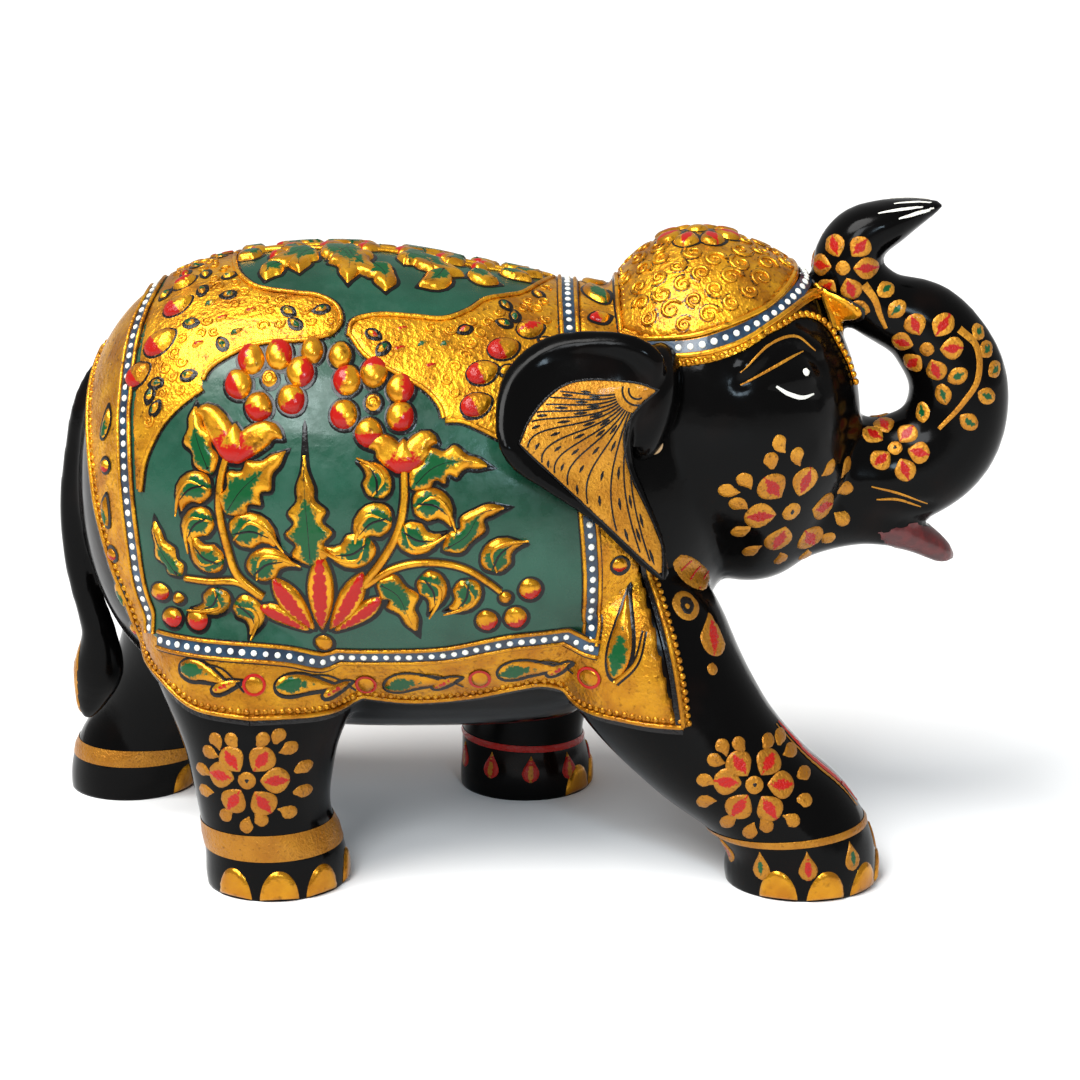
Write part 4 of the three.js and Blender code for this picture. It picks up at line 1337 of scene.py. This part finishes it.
# The cap is a dome of embossed gold gesso over the crown, with a rosette on top, a dotted border, a
# piped cord and a fringe of beads that runs down both sides of the forehead.
CAP = [(30.6, 205), (30.8, 163.4), (37.6, 162), (51.3, 163.8), (62.4, 167), (72, 170.6), (78.6, 175.4),
       (82.6, 179), (92, 205)]
CAP_LIFT, ROSETTE = 1.5, 8  # the cap's face above the wood, and how many petals are on top
CAP_LINE = [(30.8, -24.5, 163.2), (37.6, -29.4, 162), (51.3, -34.4, 163.8), (62.4, -32.8, 167),
            (72, -27.4, 170.4), (78, -19.5, 174.6), (81.6, -9, 178), (82.6, 0, 179)]
DOTTED_LINE = [(30.6, -27.4, 160.6), (41, -33, 160), (52, -36.2, 161.2), (62, -35.2, 164),
               (72, -30.4, 167.9), (79.4, -22.4, 172), (84, -12, 175), (85.4, 0, 176.2)]
CORD_LINE = [(30.2, -28.6, 158), (45.8, -35.4, 158.2), (56.7, -37.4, 160), (67.9, -34.2, 163.6),
             (77.6, -26.4, 168.8), (84.6, -16, 171.6), (89.4, -7, 171.4), (92, 0, 170)]
FRINGE_LINE = [(32.1, -31, 155.4), (45.8, -36.6, 156.4), (55.5, -38.4, 158), (65.2, -36.2, 160.9),
               (76.8, -28.8, 166), (82.2, -23, 168), (87.7, -18.4, 166.4), (92.3, -15.8, 162.4),
               (94.4, -15.4, 158.4), (97.8, -13.8, 152), (100, -12.8, 145.6)]
cap = layer("embossed_cap", inside_of(CAP, 158), CAP_LIFT, 0.2)
finish_piece(metres(cap), GOLD, "gold_paint", "head_cap")
cap_work, cap_border, cap_dots = Gesso(), Gesso(), Gesso()
draw = random.Random(3)
CROWN, CROWN_TOP = Vector((54, 0, 150)), Vector((54, 0, 191))
CROWN_CURLS, BARE_CROWN = 190, 14  # how many curls, and the bare round under the rosette
CURL_HOLLOW_SHADE = (0.10, 0.0, 0.42, 0.0)  # painted shade: thin black with a little red that darkens the hollows between the curls
for k in range(CROWN_CURLS):
    z = 1 - (k + 0.5) / CROWN_CURLS
    turn = k * math.pi * (3 - math.sqrt(5))
    way = Vector((math.sqrt(1 - z * z) * math.cos(turn), math.sqrt(1 - z * z) * math.sin(turn), z))
    hit = cast(CROWN, way)
    size, start, hand = draw.uniform(2.4, 3.4), draw.uniform(0, 6.28), draw.choice((-1, 1))
    flat = np.array([[hit[0].x, hit[0].z]])
    if depth_inside(flat, CAP)[0] < 2.4 or (hit[0] - CROWN_TOP).length < BARE_CROWN:
        continue
    curl(cap_work, spot(hit[0]), size, 1.35, hand, 0.72, CAP_LIFT + 0.1, start)
    # a line of painted shade runs in the hollow beside each curl
    hollow = start + hand * np.linspace(0, 7.6, 15)
    reach = (size + 0.75) * (1 - 0.8 * np.linspace(0, 1, 15))
    strip(cap_work, on_chart(spot(hit[0]), round_about(hollow, reach)), 0.42, CAP_LIFT + 0.15, 0.06,
          CURL_HOLLOW_SHADE)
crown_chart = spot((54, 0, 192), up=(0, -1, 0))
for k in range(ROSETTE):
    turn = 2 * math.pi * (k + 0.5) / ROSETTE
    out = np.array((math.cos(turn), math.sin(turn)))
    growth(cap_work, crown_chart, [out * 4.2, out * 13], 3.9, 1.6, CAP_LIFT, "dash", fullest=0.62,
           ends=(1.0, 0.6), steps=13, rim=2.4)
dome(cap_work, crown_chart, (0, 0), 3.4, 1.6, CAP_LIFT)
cap_line, dotted_line, cord_line = (on_wood(over(line)) for line in (CAP_LINE, DOTTED_LINE, CORD_LINE))
cord(cap_work, cap_line, 0.85, CAP_LIFT)
strip(cap_border, dotted_line, 2.0, 1.5, 0.1)
strip(cap_work, cap_line, 1.6, 0.9, 0.2)
strip(cap_work, cord_line, 1.6, 0.9, 0.2)
beads(cap_dots, dotted_line, 3.4, 1.05, 1.6, 0.55, seed=51)
cord(cap_work, cord_line, 0.8, 1.4)
for side in (-1, 1):
    fringe = on_wood(sided(FRINGE_LINE, side))
    beads(cap_work, fringe, 2.5, 1.1, 0.7, seed=52 + side)
    strip(cap_work, fringe, 0.9, 0.3, 0.25)
brow = spot((93, 0, 168), right=(0, 1, 0))
# the pendant on the forehead, with its rows of beads
growth(cap_work, brow, [(0, 5), (0, 0), (0, -10)], 6.4, 1.0, 0.9, "plain", fullest=0.3, ends=(0.5, 1.0),
       rim=3)
for k in range(5):
    row = 3.6 - 2.9 * k
    beads(cap_work, on_chart(brow, [(-5 + k, row), (5 - k, row)]), 2.1, 0.8, 1.7, seed=60 + k)
cap_border.piece("cap_border", NAVY, "navy_paint", "cap_bead_fringe")
cap_dots.piece("cap_dots", IVORY, "white_paint")
cap_work.piece("cap_ornament", PIPED_GOLD, "gold_paint")

# Flowers and drops are brushed flat on the black lacquer: on the cheeks, the trunk and the legs. They
# are gold with red dashes, and stand hardly higher than the wood.
FLAT, BRUSH = 0.12, 0.3  # where the paint starts, and how thick it stands
STROKE_STEP, THIN_WHITE = 1.0, (0, 0, 0, 0.55)
CHEEK_PETAL, CHEEK_DROP, TRUNK_PETAL = 4.95, 2.73, 3.52
CHEEK = (81.1, -30.4, 110.9)
CHEEK_PETALS = [(74.5, -36.3, 119.9), (84.6, -31.9, 120.7), (71.4, -33.7, 110.5), (91.5, -22.1, 110.4),
                (77.8, -26.7, 101.6), (87.6, -19, 100.3)]
CHEEK_DROPS = [(76.3, -39.1, 133.7), (73.5, -38.7, 128.9), (81.7, -35.5, 129.6), (66, -39.4, 122.7),
               (60.8, -38.1, 119.7), (64.3, -36.7, 114.8), (65.4, -31.4, 105.3), (69.3, -26, 97.7),
               (79.2, -19.9, 93.3), (87.2, -12.3, 92.9), (94, -15.9, 98.8), (98.3, -16.4, 105.2),
               (98, -16.3, 115.2), (92.4, -26.6, 124), (98, -17, 122.7)]
TRUNK_FLOWERS = [
    ((96.7, -10.8, 180.5), [(94.5, -7.9, 186.9), (101.5, -11.4, 186.8), (90.7, -6.1, 180.7),
                            (103.7, -10.2, 180.4), (93, -6.1, 173.8), (99.3, -10.9, 174.2)]),
    ((122.5, -11.6, 156.2), [(118.6, -12.1, 163.6), (127, -11.5, 163.5), (115.2, -10, 158),
                             (129.9, -12.4, 156.6), (119, -8.2, 151.6), (125.5, -11.6, 149.8)]),
    ((113.9, -12.3, 126), [(111.3, -4.8, 131.5), (107.6, -8.5, 129.2), (109.5, -13.9, 122.7),
                           (116.8, -14.7, 119.7), (121, -13.6, 124.8), (117.7, -10, 129.8)]),
]
TRUNK_VINES = [
    [(103, -10.8, 175.6), (106.4, -11, 171), (108.2, -10.6, 166.6), (110.2, -10.3, 162.4)],
    [(132, -10.8, 162.1), (137, -10, 156.8), (137.8, -12.2, 147.2), (133.4, -13.5, 139.8),
     (126.9, -12.7, 132)],
]
TRUNK_LEAVES = [
    ((131.9, -13.1, 148.3), (126.6, -12, 145)), ((127.8, -12, 142.6), (130, -12, 137)),
    ((122.5, -8.7, 136.4), (125, -9, 131)), ((109.9, -9.8, 174), (113, -9, 176)),
    ((113.2, -11.3, 168.3), (110, -11, 165)), ((101.9, -10.3, 168.4), (106, -10, 167.6)),
    ((138, -7.3, 160.6), (135.4, -8, 158)), ((140.7, -8.4, 155.6), (137.4, -9, 152.6)),
    ((143.1, -8.3, 149.5), (138.6, -10, 146.4)), ((141, -11.9, 141.9), (136, -12, 143.6)),
    ((135.7, -13.4, 134.3), (131, -13, 137.8)),
]
TRUNK_TIP_STROKES = [
    [(107, -8, 196.4), (114, -7.4, 197.6), (121, -5.6, 198.4)],
    [(113, -9, 194.8), (119, -7.4, 196.4), (125, -5, 198)],
    [(112, -5, 199.6), (118, -4, 200.4), (124, -3, 200.6)],
]


def stroke(paint, chart, spine, width, wash, **form):
    """One leaf, petal or drop brushed flat on the wood, with no black line."""
    growth(paint, chart, spine, width, BRUSH, FLAT, wash, ink=False, **form)


def swelling(track, ends, most, first=0.3, last=2.9):
    """Half widths of a stroke that is fullest in its middle."""
    return list(ends + most * np.sin(np.linspace(first, last, len(track[0]))))


def petal_flower(paint, chart, petals, size, ring=True):
    """Petals round the middle of a chart, each with a red dash."""
    for petal in petals:
        flat = np.array(chart.flat(petal)) if len(petal) == 3 else np.array(petal)
        out = flat / max(np.hypot(*flat), 1e-6)
        stroke(paint, chart, [flat - out * size * 1.05, flat + out * size * 0.95], size * 0.98, "dash",
               fullest=0.56, ends=(0.72, 0.5), steps=12, rim=0.5, grain=0.65)
    dome(paint, chart, (0, 0), size * 0.68, BRUSH, FLAT, ink=False, grain=0.8)
    if ring:
        eyelet = [(size * 0.26 * math.cos(a), size * 0.26 * math.sin(a)) for a in np.linspace(0, 5.6, 9)]
        pat(paint, chart, eyelet, 0.08, 0.3, FLAT + BRUSH + 0.02, 0.8, all_black)


def comma(paint, chart, flat, size, lean):
    """A drop with its tail towards the middle, bent a little."""
    flat = np.array(flat, float)
    out = flat / max(np.hypot(*flat), 1e-6)
    aside = np.array((-out[1], out[0])) * lean
    tail = flat - out * size * 1.7 + aside * size * 0.5
    waist, head = flat - out * size * 0.4, flat + out * size * 0.9
    stroke(paint, chart, [tail, waist, head], size * 0.92, "plain", fullest=0.64, ends=(1.15, 0.5),
           steps=11, rim=0.5, grain=0.8)


for side_name, side in SIDES.items():
    cheek = Gesso()
    chart = spot(sided([CHEEK], side)[0])
    petal_flower(cheek, chart, sided(CHEEK_PETALS, side), CHEEK_PETAL)
    for k, drop in enumerate(sided(CHEEK_DROPS, side)):
        comma(cheek, chart, chart.flat(drop), CHEEK_DROP, 1 if k % 2 else -1)
    cheek.piece(f"cheek_paint_{side_name}", BRUSHED_GOLD, "gold_paint", f"cheek_flower_{side_name}")
    vines = Gesso()
    for k, (centre, petals) in enumerate(TRUNK_FLOWERS):
        chart = spot(sided([centre], side)[0])
        petal_flower(vines, chart, sided(petals, side), TRUNK_PETAL, ring=k == 2)
    for line in TRUNK_VINES:
        track = on_wood(sided(line, side), STROKE_STEP)
        strip(vines, track, list(np.linspace(1.3, 0.6, len(track[0]))), FLAT, 0.35)
    for ends in TRUNK_LEAVES:
        base, tip = sided(ends, side)
        chart = spot(base)
        away = np.array(chart.flat(tip))
        away = away / max(np.hypot(*away), 1e-6)
        stroke(vines, chart, [-away * 3.3, away * 3.6], 2.7, "green_dash", fullest=0.5, ends=(0.5, 0.7),
               steps=11, rim=0.5, grain=0.7)
    for line in TRUNK_TIP_STROKES:
        track = on_wood(sided(line, side), STROKE_STEP)
        strip(vines, track, swelling(track, 0.12, 0.42, 0.2), FLAT, 0.2, THIN_WHITE)
    vines.piece(f"trunk_paint_{side_name}", BRUSHED_GOLD, "gold_paint")

# Every foot has its nails, an ankle band and a flower above it. The hind ankles have a wide gold band,
# and the fore ankles a thin line with drops hanging from it.
LEG_PETALS = [(-4.5, 6.2), (4.5, 6.4), (-8, 0.9), (8.2, -0.2), (-4.2, -6.6), (4.6, -7)]
LEG_DROPS = [(-11.8, 7.6), (4.8, 12.6), (-4.4, 12.2), (12.4, 9.4), (16, 2.6), (-14, -5.6), (15.6, -5),
             (-7, -11.8), (3.8, -12.4), (-14.6, 1.2), (11.6, -10.8), (-9.6, 11.6), (9.4, 13.4),
             (-0.6, -14.6)]
FEET = {
    # middle of the flower, middle of the ankle, height of the band, half its width, slope, nails
    "front_right": ((69.2, -61.2, 36), (83, -43), 18, 1.1, 0.085, [-118, -78, -38, 0, 38]),
    "front_left": ((4, 63, 38), (1.4, 43), 17.4, 1.1, -0.05, [118, 78, 38, 0, -38]),
    "rear_right": ((-79, -61.7, 37.6), (-75, -43), 16.2, 4.0, 0.0, [-124, -84, -44, 0, 40]),
    "rear_left": ((-113, 61, 37.6), (-124, 43), 14.0, 2.7, 0.0, [124, 84, 44, 0, -40]),
}
NAIL = (5.9, 9.4)  # half its width, and its height
LEG_PETAL, LEG_DROP, HANGING_DROPS = 4.29, 2.47, 9
RAYS = 56  # how many places a ring round a leg has
# the red on the far fore ankle is painted shade over its gold, which the near one doesn't have
FAR_ANKLE_SHADE_RED, SHIN_RED = (0.6, 0, 0, 0), (0.55, 0, 0, 0)


def round_leg(middle, height, slope):
    """A ring round a leg, from rays out of its middle."""
    found = []
    for k in range(RAYS):
        turn = 2 * math.pi * k / RAYS
        way = Vector((math.cos(turn), math.sin(turn), 0))
        lift = height + slope * 20 * math.cos(turn)
        found.append(cast((middle[0], middle[1] + MIDDLE[1], lift), way, reach=40) or
                     nearest((middle[0] + 20 * way.x, middle[1] + 20 * way.y, lift)))
    return [f[0] for f in found], [f[1] for f in found], True


for foot_name, (centre, ankle, height, half, slope, nails) in FEET.items():
    paint, claws = Gesso(), Gesso()
    chart = spot(centre)
    petal_flower(paint, chart, LEG_PETALS, LEG_PETAL)
    for k, drop in enumerate(LEG_DROPS):
        comma(paint, chart, drop, LEG_DROP, 1 if k % 2 else -1)
    ring = round_leg(ankle, height, slope)
    places = ring[0]
    # painted shade: the far fore ankle's band is reddened, while the near one stays plain gold
    ankle_shade = FAR_ANKLE_SHADE_RED if foot_name == "front_left" else PLAIN
    strip(paint, ring, half, 0.2, 0.3, ankle_shade)
    if foot_name.startswith("front"):
        for k in range(HANGING_DROPS):
            i = int(k * len(places) / HANGING_DROPS)
            hang = spot(places[i] - Vector((0, 0, 6.4)), places[(i + 2) % len(places)] - places[i - 2])
            wash = "dash" if k % 2 else "green_dash"
            if foot_name == "front_left":
                # painted shade: the far fore ankle's drops are red towards their edges
                wash = "side"
            stroke(paint, hang, [(0, 5.2), (0, -0.4), (0, -5.0)], 3.0, wash, fullest=0.66,
                   ends=(1.1, 0.5), steps=12, rim=0.5, grain=0.65)
    if foot_name == "front_right":
        shin = on_wood([(90, -52, 62), (100, -52, 46), (110, -50, 30)], STROKE_STEP)
        strip(paint, shin, swelling(shin, 0.2, 1.3, 0.1, 3.0), 0.2, 0.2, SHIN_RED, 2.6)
        strip(paint, shin, swelling(shin, 0.1, 0.6, 0.1, 3.0), 0.2, 0.2)
    for degrees in nails:
        turn = math.radians(degrees)
        way = Vector((math.cos(turn), math.sin(turn), 0))
        hit = cast((ankle[0] + (4 if foot_name == "front_right" else 2.6), ankle[1], 4.4), way, reach=60)
        nail_chart = spot(hit[0], Vector((-way.y, way.x, 0)))
        arch = [(NAIL[0] * math.cos(a), NAIL[1] * math.sin(a) - 4.2) for a in np.linspace(0, math.pi, 17)]
        pat(claws, nail_chart, arch, 0.75, 2.6, 0.15, 1.0)
    claws.piece(f"nails_{foot_name}", PIPED_GOLD, "gold_paint")
    paint.piece(f"foot_paint_{foot_name}", BRUSHED_GOLD, "gold_paint", f"leg_flower_{foot_name}",
                f"anklet_{foot_name}")

# The face and chest are finished by brush: the eyes, the lines of the mouth, a strip and drops on the
# chest, a dark red lower lip, and gold along the tuft of the tail.
EYE_WHITE = (0, 0, 0, 0.75)
UNDER_EYE = [(75.1, -37.5, 150), (79, -36, 147.4), (83, -34, 146), (86.4, -31.8, 146.6)]
FACE_LINES = [  # the lid, the brow and the two edges of the mouth, in x and z
    [(64.6, 150.7), (73, 154.6), (79, 157.2), (83.6, 158.7)],
    [(64.6, 154.4), (73.5, 162), (81.2, 163.4), (87.4, 158.6)],
    [(106.5, 115.1), (115.6, 112.4), (124.5, 108.4)],
    [(108.3, 110.8), (115, 110.4), (122.4, 107.6)],
]
for side_name, side in SIDES.items():
    face = Gesso()
    eye = spot((83.2, -side * -31.8, 152.6))
    dome(face, eye, (0, 0), 1.25, 0.5, 0.15, "plain", ink=False, grain=0.5)
    face.washes = [WHITE] * len(face.washes)  # the glint of the eye, all that is laid so far
    track = on_wood(sided(UNDER_EYE, side), 0.8)
    strip(face, track, swelling(track, 0.15, 0.5), FLAT, 0.3, EYE_WHITE)
    for line in FACE_LINES:
        track = on_chart(flanks[side_name], through(line, np.linspace(0, 1, 15)))
        strip(face, track, swelling(track, 0.1, 0.32), 0.1, 0.15)
    chest = spot(side_places([(52.5, 82)], side)[0])
    if side < 0:
        throat = flanks[side_name]
        stroke(face, throat, [(46.6, 98.8), (51.6, 94), (57.6, 88.4)], 3.2, "plain", ends=(0.3, 0.6),
               rim=0.6, steps=14)
        for k in range(3):
            at = np.array((49.6, 96)) + k * np.array((2.8, -2.7))
            bar = on_chart(throat, [at + (-1.7, -1.3), at, at + (1.7, 1.2)])
            strip(face, bar, 0.3, FLAT + 0.35, 0.1, RED)
    dome(face, chest, (-3.4, 4.4), 4.9, BRUSH, FLAT, ink=False)
    ring = [(2.8 * math.cos(a) - 3.4, 3.2 * math.sin(a) + 4.4) for a in np.linspace(0, 5.8, 12)]
    pat(face, chest, ring, 0.1, 0.5, FLAT + BRUSH, 0.8, all_black)
    dome(face, chest, (-3.4, 4.0), 1.2, 0.2, FLAT + BRUSH + 0.15, ink=False)
    stroke(face, chest, [(4.6, 6.4), (6.2, -2), (6.4, -9.4)], 5.2, "dash", fullest=0.66, ends=(1.1, 0.5),
           rim=0.6, steps=14)
    dome(face, chest, (6.2, -13.2), 2.0, BRUSH, FLAT, ink=False)
    face.piece(f"face_paint_{side_name}", BRUSHED_GOLD, "gold_paint")

LIP = [(109, 99.6), (121, 102.4), (130, 97), (139, 90), (138, 80), (124, 87), (112, 95)]
lip = layer("painted_lip", inside_of(LIP), 0.3, 0.12)
finish_piece(metres(lip), enamel("lip_red", (0.055, 0.0015, 0.002), (0.10, 0.003, 0.003), 0.45),
             "red_paint")
TUFT = [(-152, 66), (-137.4, 66), (-139.6, 44), (-139.4, 33), (-152, 28)]
tuft = layer("gold_tuft", inside_of(TUFT), 0.25, 0.1)
finish_piece(metres(tuft), GOLD, "gold_paint")

# The elephant stands on a plain pale floor, in soft light from above and the left with one small pane
# of window light on the rump. The camera looks a little down on its right side.
floor_mesh = bpy.data.meshes.new("floor")
ground = bmesh.new()
bmesh.ops.create_grid(ground, x_segments=1, y_segments=1, size=12)
ground.to_mesh(floor_mesh)
ground.free()
floor = bpy.data.objects.new("floor", floor_mesh)
bpy.context.scene.collection.objects.link(floor)
paper, nodes, links, bsdf = shader("pale_paper", (0.9, 0.9, 0.9), 0.85, specular=0.1)
links.new(blended(nodes, links, speckle(nodes, links, 3), (0.88, 0.88, 0.88), (0.92, 0.92, 0.92)),
          bsdf.inputs["Base Color"])
floor_mesh.materials.append(paper)

finish_piece(metres(wood), LACQUER, "black_lacquer", "carved_body")


def lamp(name, kind, place, aim, power, colour, **sizes):
    light = bpy.data.lights.new(name, kind)
    light.energy = power
    light.color = colour
    for key, value in sizes.items():
        setattr(light, key, value)
    held = bpy.data.objects.new(name, light)
    held.location = place
    held.rotation_euler = (Vector(aim) - Vector(place)).to_track_quat("-Z", "Y").to_euler()
    bpy.context.scene.collection.objects.link(held)


lamp("overhead", "SUN", (-0.75, -0.5, 1.5), (0, 0, 0), 3.5, (1, 0.99, 0.97), angle=math.radians(34))
lamp("window", "AREA", (-0.25, -0.75, 0.75), (0, 0, 0.1), 5.0, (0.93, 0.97, 1.0), shape="RECTANGLE",
     size=0.3, size_y=0.4)
lamp("pane", "AREA", (0.27, -0.82, 0.49), (0.131, -0.013, 0.14), 1.7, (0.66, 0.85, 1.0),
     shape="RECTANGLE", size=0.11, size_y=0.15, diffuse_factor=0.3)

world = bpy.data.worlds.new("studio")
bpy.context.scene.world = world
world.use_nodes = True
wn, wl = world.node_tree.nodes, world.node_tree.links
wn["Background"].inputs["Color"].default_value = (1, 1, 1, 1)
ROOM, BACKDROP = 0.42, 1.0  # how bright the room is on the elephant, and how bright it looks behind it
seen = wn.new("ShaderNodeLightPath")
wl.new(between(wn, wl, seen.outputs["Is Camera Ray"], 0, 1, ROOM, BACKDROP),
       wn["Background"].inputs["Strength"])

PITCH, AWAY, LENS = math.radians(14.5), 0.806, 86.67
AIM = Vector((0.0066, 0.00045, 0.094))
camera_data = bpy.data.cameras.new("camera")
camera_data.sensor_width = 36
camera_data.lens = LENS
camera = bpy.data.objects.new("camera", camera_data)
camera.location = AIM + Vector((0, -math.cos(PITCH), math.sin(PITCH))) * AWAY
camera.rotation_euler = (AIM - camera.location).to_track_quat("-Z", "Y").to_euler()
bpy.context.scene.collection.objects.link(camera)
bpy.context.scene.camera = camera
bpy.context.scene.view_settings.view_transform = "Standard"
bpy.context.scene.view_settings.look = "None"
